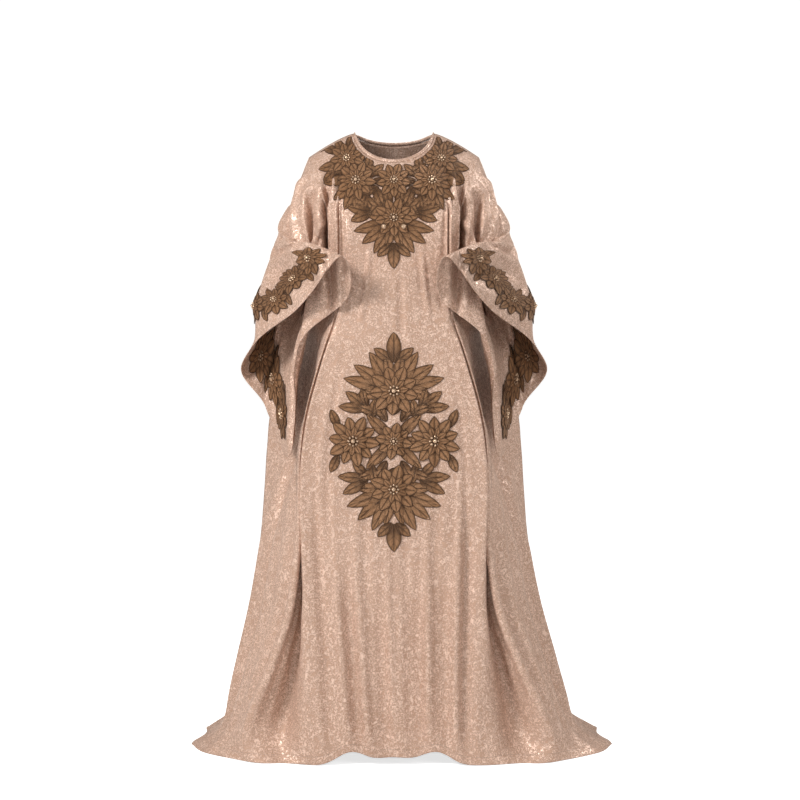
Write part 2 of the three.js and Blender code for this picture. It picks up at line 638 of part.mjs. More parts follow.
// Lace of the yoke: flowers round the neck, a large one below them, buds, and a fan of leaves at its tip.
function yokeLace() {
  const flowers = [
    flower({ x: 0, y: 1306, radius: 38, turn: 0.2 }),
    flower({ x: 0, y: 1226, radius: 54, turn: 0.2 }),
    ...both(flower, { x: 84, y: 1306, radius: 42, turn: 0 }),
    ...both(flower, { x: 116, y: 1366, radius: 34, turn: 0.3 }),
    ...both(flower, { x: 48, y: 1262, radius: 22, petals: 6, turn: 0.3 }),
  ];
  const tip = fan({ x: 0, y: 1226, direction: -90, spread: 80, count: 11, middle: 112, side: 92, width: 26 });
  const sprigs = [
    { x: 84, y: 1290, angle: degrees(-58), length: 86, width: 25 },
    { x: 84, y: 1290, angle: degrees(-92), length: 80, width: 25 },
    { x: 96, y: 1300, angle: degrees(-18), length: 60, width: 24 },
    { x: 100, y: 1320, angle: degrees(22), length: 58, width: 24 },
    { x: 44, y: 1300, angle: degrees(-110), length: 60, width: 22 },
    { x: 48, y: 1312, angle: degrees(192), length: 44, width: 20 },
    { x: 116, y: 1352, angle: degrees(-6), length: 48, width: 20 },
    { x: 104, y: 1380, angle: degrees(80), length: 38, width: 18 },
  ].flatMap((place) => both(leaf, place));
  const clear = Array.from({ length: 33 }, (_, i) => {
    const turn = (i / 32) * Math.PI;
    const reach = NECK_HALF + LACE_FROM_NECK;
    return new THREE.Vector2(reach * Math.cos(turn), NECK_HEIGHT - (FRONT_DROP + LACE_FROM_NECK) * Math.sin(turn));
  });
  const above = [[-NECK_HALF - LACE_FROM_NECK, 1], [-TIP_X, -1], [-TIP_X, 2], [TIP_X, 2], [TIP_X, -1]];
  const shoulder = above.map(([x, k]) => new THREE.Vector2(x, k > 1 ? 1500 : apexHeight(x) - LACE_FROM_SEAM));
  const cutter = (outline) => sheetOf(outline, 20).translate(0, 0, -5);
  return join([...flowers, ...tip, ...sprigs]).subtract(cutter([...clear, ...shoulder]));
}

// A band of flowers along a sleeve's hem, strung on leaves. X runs along the hem, Y up from it.
function hemLace(count) {
  const pieces = [];
  for (let k = 0; k < count; k += 1) {
    const x = BAND_START + k * BAND_STEP;
    const y = k % 2 ? 72 : 65;
    pieces.push(flower({ x, y, radius: 39, turn: 0.2 * k }));
    if (k < count - 1) {
      pieces.push(leaf({ x, y, angle: 0, length: BAND_STEP, width: 24 }));
      pieces.push(leaf({ x: x + BAND_STEP / 2, y: 62, angle: degrees(84), length: 58, width: 24 }));
    }
  }
  return join(pieces);
}

// Places a flat band near a sleeve's hem: from a starting column, along the hem, up the cloth.
function nearHem(grid, startColumn, step, inside) {
  const normals = gridNormals(grid, true);
  const side = inside ? -1 : 1;
  const rows = grid.length - 1;
  const columns = grid[0].length;
  const face = inside
    ? grid.map((line, row) => line.map((p, j) => p.clone().addScaledVector(normals[row][j], -WALL))) : grid;
  const wrap = (j) => (j + columns * 2) % columns;
  const lengths = [0];
  for (let k = 0; k < columns; k += 1) {
    const a = face[rows - 1][wrap(startColumn + k * step)];
    const b = face[rows - 1][wrap(startColumn + (k + 1) * step)];
    lengths.push(lengths[k] + a.distanceTo(b));
  }
  return (x, y) => {
    let k = 0;
    while (k < columns - 1 && lengths[k + 1] < x) k += 1;
    const part = (x - lengths[k]) / (lengths[k + 1] - lengths[k]);
    const u = startColumn + (k + part) * step;
    const near = (row) => onGrid(face, normals, wrap(Math.floor(u)) + u - Math.floor(u), row).point;
    const spacing = near(rows - 4).distanceTo(near(rows - 0.001)) / 4;
    const v = rows - y / spacing;
    const { point, normal } = onGrid(face, normals, wrap(Math.floor(u)) + u - Math.floor(u), v);
    return { point, normal: normal.multiplyScalar(side) };
  };
}

const garment = new THREE.Group();
garment.position.z = -ORIGIN_HEIGHT;

function addPiece(name, geometry, look) {
  const piece = new THREE.Mesh(geometry, new THREE.MeshStandardMaterial(look));
  piece.name = name;
  garment.add(piece);
}

addPiece('front_panel', wall(frontGrid, false, WALL), CLOTH);
addPiece('back_panel', wall(reversed(backGrid), false, WALL), CLOTH);
addPiece('sleeve_left', wall(leftSleeve, true, WALL), CLOTH);
addPiece('sleeve_right', wall(rightSleeve, true, WALL), CLOTH);
addPiece('neck_band', wall(neckBandGrid(), true, BAND_WALL, 1), CLOTH);
addPiece('yoke_lace', drape(yokeLace(), onFront), LACE);
addPiece('skirt_lace', drape(skirtLace(), onFront), LACE);
addPiece('cuff_lace_left', drape(hemLace(OUTER_FLOWERS), nearHem(leftSleeve, 12, 1, false)), LACE);
addPiece('cuff_lace_right', drape(hemLace(OUTER_FLOWERS), nearHem(rightSleeve, 11, -1, false)), LACE);
addPiece('inner_lace_left', drape(hemLace(INNER_FLOWERS), nearHem(leftSleeve, 18, 1, true)), LACE);
addPiece('inner_lace_right', drape(hemLace(INNER_FLOWERS), nearHem(rightSleeve, 5, -1, true)), LACE);

export default garment;
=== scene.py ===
import math

import bmesh
import bpy
import numpy as np
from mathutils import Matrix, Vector
from mathutils.bvhtree import BVHTree


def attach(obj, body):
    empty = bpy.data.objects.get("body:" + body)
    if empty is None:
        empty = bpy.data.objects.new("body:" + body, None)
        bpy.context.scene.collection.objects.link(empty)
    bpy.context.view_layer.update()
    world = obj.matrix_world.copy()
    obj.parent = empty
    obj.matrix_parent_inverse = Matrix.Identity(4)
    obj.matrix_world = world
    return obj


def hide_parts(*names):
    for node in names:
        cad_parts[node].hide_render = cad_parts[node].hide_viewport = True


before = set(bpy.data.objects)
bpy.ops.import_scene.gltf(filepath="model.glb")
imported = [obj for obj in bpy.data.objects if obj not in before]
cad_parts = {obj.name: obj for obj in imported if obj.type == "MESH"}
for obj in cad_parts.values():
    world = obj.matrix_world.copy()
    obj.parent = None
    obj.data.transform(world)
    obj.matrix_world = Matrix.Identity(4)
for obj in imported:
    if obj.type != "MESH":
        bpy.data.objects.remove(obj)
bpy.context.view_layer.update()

# The studio: a wide white floor under a pale sky, with two broad soft lights in front and one at the side.
# The camera stands 4.5 m in front of the garment and 1.1 m above the floor, and looks a little down.
FLOOR_Z = -1.4205
FLOOR_HALF = 60.0
PAPER_TONES = ((0.86, 0.86, 0.86, 1.0), (0.88, 0.88, 0.88, 1.0))
PAPER_GLOW = 0.74
SKY_TINT = (1.0, 0.97, 0.94, 1.0)
SKY_LIGHT = 0.34
SKY_SEEN = 1.1
CAMERA_AWAY = 4.5
CAMERA_HEIGHT = 1.1
CAMERA_SIDE = 0.0139
CAMERA_TILT = math.radians(3.68)
ORIGIN_HEIGHT = 1420.0  # millimetres above the floor, between the shoulders
FOCAL_MM = 87.5
SENSOR_MM = 36.0
LIGHT_AIM = (0.0, 0.0, -0.5)


def add_node(tree, kind, sockets=(), **settings):
    """A new shader node with its settings and the constant values of its sockets."""
    node = tree.nodes.new("ShaderNode" + kind)
    for name, value in settings.items():
        setattr(node, name, value)
    for name, value in dict(sockets).items():
        node.inputs[name].default_value = value
    return node


def wire(tree, *wires):
    """Joins nodes: each wire names a node and its output, then a node and its input."""
    for source, output, target, socket in wires:
        tree.links.new(source.outputs[output], target.inputs[socket])


def new_material(name, sockets):
    """A material with constant values on its shader; gives the material, its tree and its shader."""
    material = bpy.data.materials.new(name)
    material.use_nodes = True
    shader = material.node_tree.nodes["Principled BSDF"]
    for socket, value in sockets.items():
        shader.inputs[socket].default_value = value
    return material, material.node_tree, shader


def add_object(name, data):
    """A new object in the scene."""
    made = bpy.data.objects.new(name, data)
    bpy.context.collection.objects.link(made)
    return made


backdrop = bpy.data.meshes.new("backdrop")
floor_corners = [(x * FLOOR_HALF, y * FLOOR_HALF, FLOOR_Z) for x, y in ((-1, -1), (1, -1), (1, 1), (-1, 1))]
backdrop.from_pydata(floor_corners, [], [(0, 1, 2, 3)])
floor = add_object("studio_floor", backdrop)
paper, tree, shader = new_material("white paper sweep", {
    "Roughness": 0.9, "Specular IOR Level": 0.1, "Emission Color": (1.0, 1.0, 1.0, 1.0),
})
paper_tone = add_node(tree, "TexNoise", {"Scale": 3.0})
paper_mix = add_node(tree, "Mix", {"A": PAPER_TONES[0], "B": PAPER_TONES[1]}, data_type="RGBA")
paper_seen = add_node(tree, "LightPath")
paper_glow = add_node(tree, "MapRange", {"To Max": PAPER_GLOW})
wire(
    tree,
    (paper_tone, "Fac", paper_mix, "Factor"),
    (paper_mix, "Result", shader, "Base Color"),
    (paper_seen, "Is Camera Ray", paper_glow, "Value"),
    (paper_glow, "Result", shader, "Emission Strength"),
)
backdrop.materials.append(paper)

sky = bpy.data.worlds.new("soft sky")
sky.use_nodes = True
tree = sky.node_tree
background = tree.nodes["Background"]
background.inputs["Color"].default_value = SKY_TINT
sky_seen = add_node(tree, "LightPath")
sky_strength = add_node(tree, "MapRange", {"To Min": SKY_LIGHT, "To Max": SKY_SEEN})
wire(
    tree,
    (sky_seen, "Is Camera Ray", sky_strength, "Value"),
    (sky_strength, "Result", background, "Strength"),
)
bpy.context.scene.world = sky
bpy.context.scene.view_settings.view_transform = "Standard"

# Each light: name, place, size and watts.
LIGHTS = [
    ("key_light", (-2.4, -2.3, 1.5), 1.0, 152.0),
    ("fill_light", (2.4, -3.1, 0.9), 1.5, 44.0),
    ("rim_light", (2.6, 0.6, 1.4), 1.0, 46.0),
]
for name, place, size, power in LIGHTS:
    lamp = bpy.data.lights.new(name, "AREA")
    lamp.size = size
    lamp.energy = power
    lamp_object = add_object(name, lamp)
    lamp_object.location = place
    aim = Vector(LIGHT_AIM) - Vector(place)
    lamp_object.rotation_euler = aim.to_track_quat("-Z", "Y").to_euler()

camera_data = bpy.data.cameras.new("front_camera")
camera_data.lens = FOCAL_MM
camera_data.sensor_width = SENSOR_MM
camera = add_object("front_camera", camera_data)
camera.location = (CAMERA_SIDE, -CAMERA_AWAY, CAMERA_HEIGHT - ORIGIN_HEIGHT / 1000)
camera.rotation_euler = (math.pi / 2 - CAMERA_TILT, 0.0, 0.0)
bpy.context.scene.camera = camera

# The cloth: champagne satin jacquard, woven with a close squiggle figure that shines on a duller ground.
# All panels are cut from it, so they share one material; the threads are a group that the lace uses too.
GROUND = (0.50, 0.322, 0.236, 1.0)
GROUND_DEEP = (0.41, 0.256, 0.182, 1.0)
FIGURE = (0.77, 0.555, 0.445, 1.0)
FIGURE_SCALE = 112.0
THREAD_SCALE = 900.0


def thread_group():
    """Crossing threads as a height that varies over the surface."""
    group = bpy.data.node_groups.new("woven threads", "ShaderNodeTree")
    group.interface.new_socket("Scale", in_out="INPUT", socket_type="NodeSocketFloat")
    group.interface.new_socket("Height", in_out="OUTPUT", socket_type="NodeSocketFloat")
    entry = group.nodes.new("NodeGroupInput")
    leave = group.nodes.new("NodeGroupOutput")
    place = add_node(group, "TexCoord")
    both = add_node(group, "Math", operation="ADD")
    for k, direction in enumerate("ZX"):
        wave = add_node(group, "TexWave", {"Distortion": 1.5}, bands_direction=direction)
        wire(
            group,
            (place, "Object", wave, "Vector"),
            (entry, "Scale", wave, "Scale"),
            (wave, "Fac", both, k),
        )
    wire(group, (both, "Value", leave, "Height"))
    return group


woven_threads = thread_group()

jacquard, tree, satin = new_material("champagne jacquard", {
    "Sheen Weight": 0.04,
    "Sheen Tint": (1.0, 0.82, 0.7, 1.0),
    "Sheen Roughness": 0.4,
    "Specular IOR Level": 0.42,
    "Specular Tint": (1.0, 0.86, 0.76, 1.0),
})
place = add_node(tree, "TexCoord")

# The figure: narrow bands where a bent noise passes its middle value.
squiggle = add_node(tree, "TexNoise", {"Scale": FIGURE_SCALE, "Detail": 1.0, "Distortion": 1.6})
line_distance = add_node(tree, "Math", {1: 0.5}, operation="SUBTRACT")
line_width = add_node(tree, "Math", operation="ABSOLUTE")
figure = add_node(tree, "MapRange", {"From Min": 0.075, "From Max": 0.03}, interpolation_type="SMOOTHSTEP")
wire(
    tree,
    (place, "Object", squiggle, "Vector"),
    (squiggle, "Fac", line_distance, 0),
    (line_distance, "Value", line_width, 0),
    (line_width, "Value", figure, "Value"),
)

# Its colours, and how much it shines.
broad = add_node(tree, "TexNoise", {"Scale": 5.0, "Detail": 3.0})
ground_tone = add_node(tree, "Mix", {"A": GROUND, "B": GROUND_DEEP}, data_type="RGBA")
tone = add_node(tree, "Mix", {"B": FIGURE}, data_type="RGBA")
wire(
    tree,
    (place, "Object", broad, "Vector"),
    (broad, "Fac", ground_tone, "Factor"),
    (figure, "Result", tone, "Factor"),
    (ground_tone, "Result", tone, "A"),
    (tone, "Result", satin, "Base Color"),
)
for socket, on_ground, on_figure in (("Roughness", 0.5, 0.3), ("Metallic", 0.12, 0.3)):
    shine = add_node(tree, "MapRange", {"To Min": on_ground, "To Max": on_figure})
    wire(tree, (figure, "Result", shine, "Value"), (shine, "Result", satin, socket))

# Its relief: the figure stands up, over crossing threads and a soft crumple.
threads = add_node(tree, "Group", node_tree=woven_threads)
threads.inputs["Scale"].default_value = THREAD_SCALE
crumple = add_node(tree, "TexNoise", {"Scale": 38.0, "Detail": 4.0})
figure_bump = add_node(tree, "Bump", {"Strength": 0.9, "Distance": 0.0009})
thread_bump = add_node(tree, "Bump", {"Strength": 0.2, "Distance": 0.0002})
crumple_bump = add_node(tree, "Bump", {"Strength": 0.22, "Distance": 0.004})
wire(
    tree,
    (place, "Object", crumple, "Vector"),
    (figure, "Result", figure_bump, "Height"),
    (threads, "Height", thread_bump, "Height"),
    (crumple, "Fac", crumple_bump, "Height"),
    (figure_bump, "Normal", thread_bump, "Normal"),
    (thread_bump, "Normal", crumple_bump, "Normal"),
    (crumple_bump, "Normal", satin, "Normal"),
)

# Front panel: one wide length of jacquard from shoulder to floor, sewn to the back at shoulders and sides.
# A flat apron hangs from the chest, and beside it a deep trough, a ridge and the slack side run down to the
# seam. Sizes are millimetres, with heights above the floor.
NECK_HALF = 92.0
NECK_HEIGHT = 1425.0
FRONT_DROP = 72.0
BACK_DROP = 26.0
TIP_X = 196.0
TIP_HEIGHT = 1370.0
SEAM_Y = 6.0
DOME_HEIGHT = 1250.0
UNDERARM_HEIGHT = 1000.0
FLOOR_CLEAR = 1.5
LOW_ROWS = 12
HIGH_ROWS = 12
ROW_CROWDING = 1.3
SHOULDER_COLUMNS = 5
SHOULDER_CURVE = 1.3
NECK_SLOPE = 0.15
DOME_BULGE = 1.6
DOME_ROUND = 0.75
CLOTH_THICK = 0.0012
SINK_BESIDE = 0.35
# Stations of the front's cross-section from the middle (0) to the seam (1), and the columns between them.
STATIONS = [0, 0.42, 0.54, 0.66, 0.82, 1]
STATION_COLUMNS = [6, 2, 2, 3, 4]
# Each row: height, the middle's Y, then X and Y of apron, trough, ridge, side and seam edge, and a shift.
FRONT = np.array([
    [0, -192, 188, -196, 262, -176, 332, -170, 452, -80, 494, 6, 18],
    [44, -188, 187, -190, 262, -146, 345, -146, 404, -70, 424, 22, 12],
    [116, -184, 188, -184, 254, -128, 326, -142, 372, -60, 392, 32, 8],
    [230, -178, 190, -174, 236, -124, 282, -144, 338, -58, 364, 46, 5],
    [340, -172, 193, -166, 214, -124, 246, -142, 308, -48, 340, 62, 2],
    [480, -166, 198, -158, 209, -124, 226, -142, 282, -36, 317, 76, 0],
    [600, -160, 203, -150, 209, -124, 219, -142, 248, -14, 308, 98, 0],
    [690, -156, 200, -146, 205, -122, 213, -138, 216, -4, 303, 116, 0],
    [790, -152, 186, -142, 191, -122, 200, -134, 199, -20, 290, 118, 0],
    [900, -148, 158, -138, 162, -122, 171, -130, 182, -42, 232, 94, 0],
    [950, -147, 142, -137, 147, -124, 156, -128, 176, -52, 207, 50, 0],
    [1000, -146, 124, -136, 131, -126, 140, -126, 176, -56, 216, 14, 0],
    [1060, -147, 114, -138, 123, -130, 131, -130, 146, -98, 160, -72, 0],
    [1120, -149, 108, -142, 119, -136, 128, -134, 137, -122, 146, -104, 0],
    [1190, -150, 104, -144, 117, -139, 127, -135, 137, -124, 145, -108, 0],
    [1250, -143, 102, -136, 116, -132, 127, -127, 139, -118, 150, -104, 0],
], float)


def smooth(stops, values, at):
    """Smooth curve through values at uneven stops; values may hold a row of numbers at each stop."""
    stops = np.asarray(stops, float)
    values = np.asarray(values, float)
    at = np.clip(np.asarray(at, float), stops[0], stops[-1])
    last = len(stops) - 1
    k = np.clip(np.searchsorted(stops, at, side="right") - 1, 0, last - 1)
    before = np.maximum(np.arange(last + 1) - 1, 0)
    after = np.minimum(np.arange(last + 1) + 1, last)
    gap = (stops[after] - stops[before]).reshape([-1] + [1] * (values.ndim - 1))
    slope = (values[after] - values[before]) / gap
    span = stops[k + 1] - stops[k]
    t = (at - stops[k]) / span
    shape = t.shape + (1,) * (values.ndim - 1)
    t, span = t.reshape(shape), span.reshape(shape)
    ease = 3 * t**2 - 2 * t**3
    return (
        values[k] * (1 - ease) + values[k + 1] * ease
        + span * (slope[k] * (t**3 - 2 * t**2 + t) + slope[k + 1] * (t**3 - t**2))
    )


def ramp(value, start, end):
    """Rises softly from 0 at the start to 1 at the end."""
    t = np.clip((value - start) / (end - start), 0.0, 1.0)
    return t * t * (3 - 2 * t)


def unit(vectors):
    """The same directions, each one long."""
    return vectors / np.linalg.norm(vectors, axis=-1, keepdims=True)


def bell(offset, width):
    """A soft hump, 1 at the middle."""
    return np.exp(-((offset / width) ** 2))


def front_section(s, height):
    """X and Y of the front at place s (0 middle, 1 seam) for each height: arrays of s by height."""
    row = smooth(FRONT[:, 0], FRONT[:, 1:], height).T
    xs = [np.zeros_like(height), *row[1:10:2]]
    ys = [row[0], *row[2:11:2]]
    stops = [-STATIONS[1]] + STATIONS
    return smooth(stops, [-xs[1]] + xs, s), smooth(stops, [ys[1]] + ys, s)


def apex_height(x):
    """Height of the panels' top edge: the neckline's end and the sloping shoulder seam."""
    beyond = np.abs(x) - NECK_HALF
    down = (np.maximum(beyond, 0) / (TIP_X - NECK_HALF)) ** SHOULDER_CURVE
    shoulder = NECK_HEIGHT + (TIP_HEIGHT - NECK_HEIGHT) * down
    return np.where(beyond < 0, NECK_HEIGHT - beyond * NECK_SLOPE, shoulder)


def panel_surface(section, s_of_column, count, drop, columns, rows):
    """Outer points of a panel, rows from hem to shoulder by columns from left edge to right edge."""
    points = np.zeros((len(rows), len(columns), 3))
    low_part = np.clip(rows / LOW_ROWS, 0, 1)
    high_part = np.clip((rows - LOW_ROWS) / HIGH_ROWS, 0, 1)
    for c, signed in enumerate(columns):
        j, side = abs(signed), 1.0 if signed >= 0 else -1.0
        s = float(s_of_column(j))
        neck_count = count - SHOULDER_COLUMNS
        if j <= neck_count:
            turn = j / neck_count * math.pi / 2
            top_x, top_height = NECK_HALF * math.sin(turn), NECK_HEIGHT - drop * math.cos(turn)
        else:
            top_x = NECK_HALF + (TIP_X - NECK_HALF) * (j - neck_count) / SHOULDER_COLUMNS
            top_height = float(apex_height(top_x))
        high = UNDERARM_HEIGHT + (top_height - UNDERARM_HEIGHT) * high_part
        height = np.where(rows <= LOW_ROWS, UNDERARM_HEIGHT * low_part**ROW_CROWDING, high)
        x, y = section(np.array([s]), np.minimum(height, DOME_HEIGHT))
        x, y = x[0], y[0]
        rise = np.clip((height - DOME_HEIGHT) / (top_height - DOME_HEIGHT), 0, 1)
        x = x + (top_x - x) * rise
        apex = np.maximum(apex_height(x), TIP_HEIGHT)
        over = np.clip((height - DOME_HEIGHT) / (apex - DOME_HEIGHT), 0, 1)
        y = SEAM_Y + (y - SEAM_Y) * (1 - over**DOME_BULGE) ** DOME_ROUND
        shift = smooth(FRONT[:, 0], FRONT[:, -1], height) * (height < UNDERARM_HEIGHT)
        points[:, c] = np.stack([side * x + shift, y, height], axis=1)
    return points


def grid_normals(points, closed=False):
    """Outward directions of a grid of points; a closed grid's last column meets its first."""
    across = np.gradient(points, axis=1)
    if closed:
        across = np.roll(points, -1, axis=1) - np.roll(points, 1, axis=1)
    normals = np.cross(across, np.gradient(points, axis=0))
    return normals / np.maximum(np.linalg.norm(normals, axis=2, keepdims=True), 1e-9)


def lay_folds(points, normals, across, up, folds, wrap=0.0):
    """Moves cloth out along its normals under each fold: a ridge for a positive height, a trough for less.

    A fold runs from (across, up) at its top to its bottom, bends aside by its bow, and fades at its ends."""
    rise = np.zeros(points.shape[:2])
    for top, top_up, bottom, bottom_up, bow, width_top, width_bottom, height in folds:
        t = np.clip((top_up - up) / (top_up - bottom_up), 0, 1)
        middle = top + (bottom - top) * t + bow * np.sin(math.pi * t)
        width = width_top + (width_bottom - width_top) * t
        offset = across - middle
        if wrap:
            offset = (offset + wrap / 2) % wrap - wrap / 2
        reach = (top_up - bottom_up) * 0.3
        ends = ramp(top_up - up, 0, reach) * ramp(up - bottom_up, -reach * 0.3, reach * 0.5)
        beside = bell(np.abs(offset) - 1.9 * width, 0.8 * width)
        rise += height * ends * (bell(offset, width) - SINK_BESIDE * beside)
    return points + normals * rise[..., None]


# Folds that run across the armhole seam: x and height at the top and at the bottom, width, and how far the
# cloth is pressed back (or stands forward, where it is less than nothing).
SEAM_FOLDS = [
    (-152, 1350, -137, 1000, 9, 20), (-172, 1320, -160, 1030, 8, -6), (-188, 1300, -180, 1060, 8, 10),
    (-132, 1330, -120, 1020, 8, -5), (-206, 1310, -158, 1120, 9, 9), (-228, 1280, -168, 1112, 9, -9),
    (-246, 1244, -182, 1106, 9, 9), (-258, 1204, -198, 1100, 9, -8), (-230, 1190, -268, 1110, 9, -8),
    (-118, 1290, -108, 1040, 7, 5), (153, 1345, 138, 1000, 9, 20), (174, 1315, 160, 1030, 8, -6),
    (190, 1300, 182, 1050, 8, 10), (133, 1325, 121, 1010, 8, -5), (208, 1308, 160, 1122, 9, 9),
    (229, 1276, 169, 1110, 9, -9), (247, 1240, 184, 1108, 9, 9), (259, 1200, 199, 1098, 9, -8),
    (231, 1186, 268, 1108, 9, -8), (117, 1280, 107, 1030, 7, 5),
]


def press_seam_folds(points):
    """Moves the cloth that faces forward back or forth under the folds at the armholes."""
    x, y, height = points[..., 0], points[..., 1], points[..., 2]
    push = np.zeros(x.shape)
    for top_x, top, bottom_x, bottom, width, depth in SEAM_FOLDS:
        t = (top - height) / (top - bottom)
        fade = ramp(t, -0.05, 0.3) * (1 - ramp(t, 0.8, 1.15))
        push += depth * fade * bell(x - (top_x + (bottom_x - top_x) * t), width)
    pressed = points.copy()
    pressed[..., 1] += push * ramp(-y, 20, 75)
    return pressed


def to_frame(points):
    """Millimetres above the floor to metres in the garment's frame."""
    return (np.asarray(points, float) - np.array([0, 0, ORIGIN_HEIGHT])) / 1000.0


def grid_faces(rows, columns, closed=False):
    """Four-sided faces of a grid; a closed grid's last column meets its first."""
    faces = []
    for row in range(0, (rows - 1) * columns, columns):
        for near in range(columns if closed else columns - 1):
            far = (near + 1) % columns
            faces.append((row + near, row + far, row + columns + far, row + columns + near))
    return faces


def mesh_piece(name, node, points, faces, materials, indices=None):
    """An object of plain faces that stands for a solid of the garment."""
    mesh = bpy.data.meshes.new(name)
    mesh.from_pydata(to_frame(points).tolist(), [], faces)
    for material in materials:
        mesh.materials.append(material)
    mesh.polygons.foreach_set("use_smooth", [True] * len(mesh.polygons))
    if indices is not None:
        mesh.polygons.foreach_set("material_index", indices)
    piece = add_object(name, mesh)
    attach(piece, "root")
    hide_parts(node)
    return piece


def cloth_piece(node, points, closed=False):
    """A thin shell of jacquard on a grid of outer points."""
    faces = grid_faces(*points.shape[:2], closed)
    piece = mesh_piece(f"{node}_cloth", node, points.reshape(-1, 3), faces, [jacquard])
    shell = piece.modifiers.new("cloth thickness", "SOLIDIFY")
    shell.thickness = CLOTH_THICK
    shell.offset = -1.0
    return piece


front_stops = np.concatenate([[0.0]] + [
    np.linspace(start, end, count + 1)[1:]
    for start, end, count in zip(STATIONS, STATIONS[1:], STATION_COLUMNS)
])


def front_station(j):
    """Place from the middle (0) to the seam (1) of a column, whole or not."""
    return np.interp(j, np.arange(len(front_stops)), front_stops)


# Folds of the front, in turn: place across and height of the top, the same of the bottom, bow, width at
# the top and bottom, and height. Across runs from -1 at the left seam to 1 at the right one.
FRONT_FOLDS = [
    (-0.86, 1370, -0.8, 1010, 0.02, 0.03, 0.035, 14), (0.86, 1365, 0.79, 1000, -0.02, 0.03, 0.035, 14),
    (-0.66, 1300, -0.6, 1040, 0.01, 0.03, 0.03, -8), (0.64, 1290, 0.6, 1060, -0.01, 0.03, 0.03, -8),
    (-0.95, 1330, -0.93, 1040, 0, 0.022, 0.022, -12), (0.95, 1330, 0.93, 1040, 0, 0.022, 0.022, -12),
    (-0.36, 640, -0.34, 30, 0.01, 0.03, 0.04, -10), (-0.22, 470, -0.21, 10, 0, 0.028, 0.036, -12),
    (-0.08, 400, -0.07, 10, 0, 0.03, 0.04, -9), (0.1, 440, 0.1, 10, 0, 0.03, 0.04, -10),
    (0.23, 500, 0.24, 10, 0, 0.028, 0.036, -12), (0.36, 620, 0.35, 30, -0.01, 0.028, 0.036, -10),
    (-0.74, 900, -0.76, 60, 0, 0.02, 0.034, 12), (-0.86, 760, -0.87, 40, 0.01, 0.022, 0.036, -14),
    (-0.93, 640, -0.94, 80, 0, 0.016, 0.022, 9), (0.74, 880, 0.75, 60, 0, 0.02, 0.034, 12),
    (0.87, 780, 0.87, 40, -0.01, 0.022, 0.036, -14), (0.93, 600, 0.94, 70, 0, 0.016, 0.022, 9),
    (-0.41, 980, -0.39, 20, 0.01, 0.014, 0.018, 4), (-0.3, 1010, -0.29, 20, 0, 0.014, 0.02, -5),
    (-0.17, 620, -0.16, 10, -0.01, 0.013, 0.018, 5), (-0.12, 1030, -0.13, 20, 0, 0.014, 0.018, -4),
    (-0.03, 560, -0.02, 10, 0, 0.013, 0.02, 5), (0.04, 980, 0.05, 20, 0.01, 0.014, 0.018, -4),
    (0.15, 640, 0.15, 10, 0, 0.013, 0.02, 5), (0.2, 1040, 0.19, 30, 0, 0.014, 0.018, -4),
    (0.29, 700, 0.3, 10, 0.01, 0.014, 0.02, 5), (0.33, 1020, 0.32, 20, 0, 0.014, 0.018, -4),
    (0.41, 960, 0.39, 20, -0.01, 0.014, 0.018, 4), (-0.43, 990, -0.43, 120, 0, 0.014, 0.022, 8),
    (0.43, 990, 0.43, 120, 0, 0.014, 0.022, 8), (-0.52, 960, -0.57, 480, 0, 0.016, 0.02, -9),
    (0.52, 960, 0.57, 480, 0, 0.016, 0.02, -9), (-0.62, 720, -0.67, 10, 0.01, 0.018, 0.032, 14),
    (0.61, 740, 0.67, 10, -0.01, 0.018, 0.032, 14), (-0.5, 640, -0.56, 20, 0.01, 0.016, 0.028, -16),
    (0.5, 620, 0.57, 20, -0.01, 0.016, 0.028, -16), (-0.76, 640, -0.77, 20, 0.01, 0.018, 0.03, -12),
    (0.76, 620, 0.78, 20, -0.01, 0.018, 0.03, -12), (-0.45, 420, -0.47, 10, 0, 0.016, 0.026, 9),
    (0.45, 400, 0.48, 10, 0, 0.016, 0.026, 9), (-0.2, 1180, -0.24, 1000, 0, 0.02, 0.02, 4),
    (0.06, 1120, 0.05, 940, 0, 0.024, 0.024, -4), (0.24, 1180, 0.26, 1000, 0, 0.02, 0.02, 4),
    (-0.56, 860, -0.52, 420, 0, 0.014, 0.02, -8), (0.56, 860, 0.52, 400, 0, 0.014, 0.02, -8),
]
HEM_LIFT_TOP = 200
FRONT_FINE_COLUMNS = 86
FINE_ROWS = 176

front_count = sum(STATION_COLUMNS)
half = np.linspace(0, front_count, FRONT_FINE_COLUMNS)
front_columns = np.concatenate([-half[:0:-1], half])
fine_rows = np.linspace(0, LOW_ROWS + HIGH_ROWS, FINE_ROWS)
front_points = panel_surface(front_section, front_station, front_count, FRONT_DROP, front_columns, fine_rows)
front_across = np.sign(front_columns) * front_station(np.abs(front_columns))
front_across = np.broadcast_to(front_across, front_points.shape[:2])


def hem_lift(x):
    """How far the hem clears the floor in front."""
    return 18 * bell(x, 60) + 30 * bell(np.abs(x) - 96, 44)


front_height = front_points[..., 2].copy()
front_points = lay_folds(front_points, grid_normals(front_points), front_across, front_height, FRONT_FOLDS)
front_points[..., 2] += hem_lift(front_points[..., 0]) * (1 - ramp(front_height, 0, HEM_LIFT_TOP))
front_points[..., 2] = np.maximum(front_points[..., 2], FLOOR_CLEAR)
front_points = press_seam_folds(front_points)
front_panel = cloth_piece("front_panel", front_points)

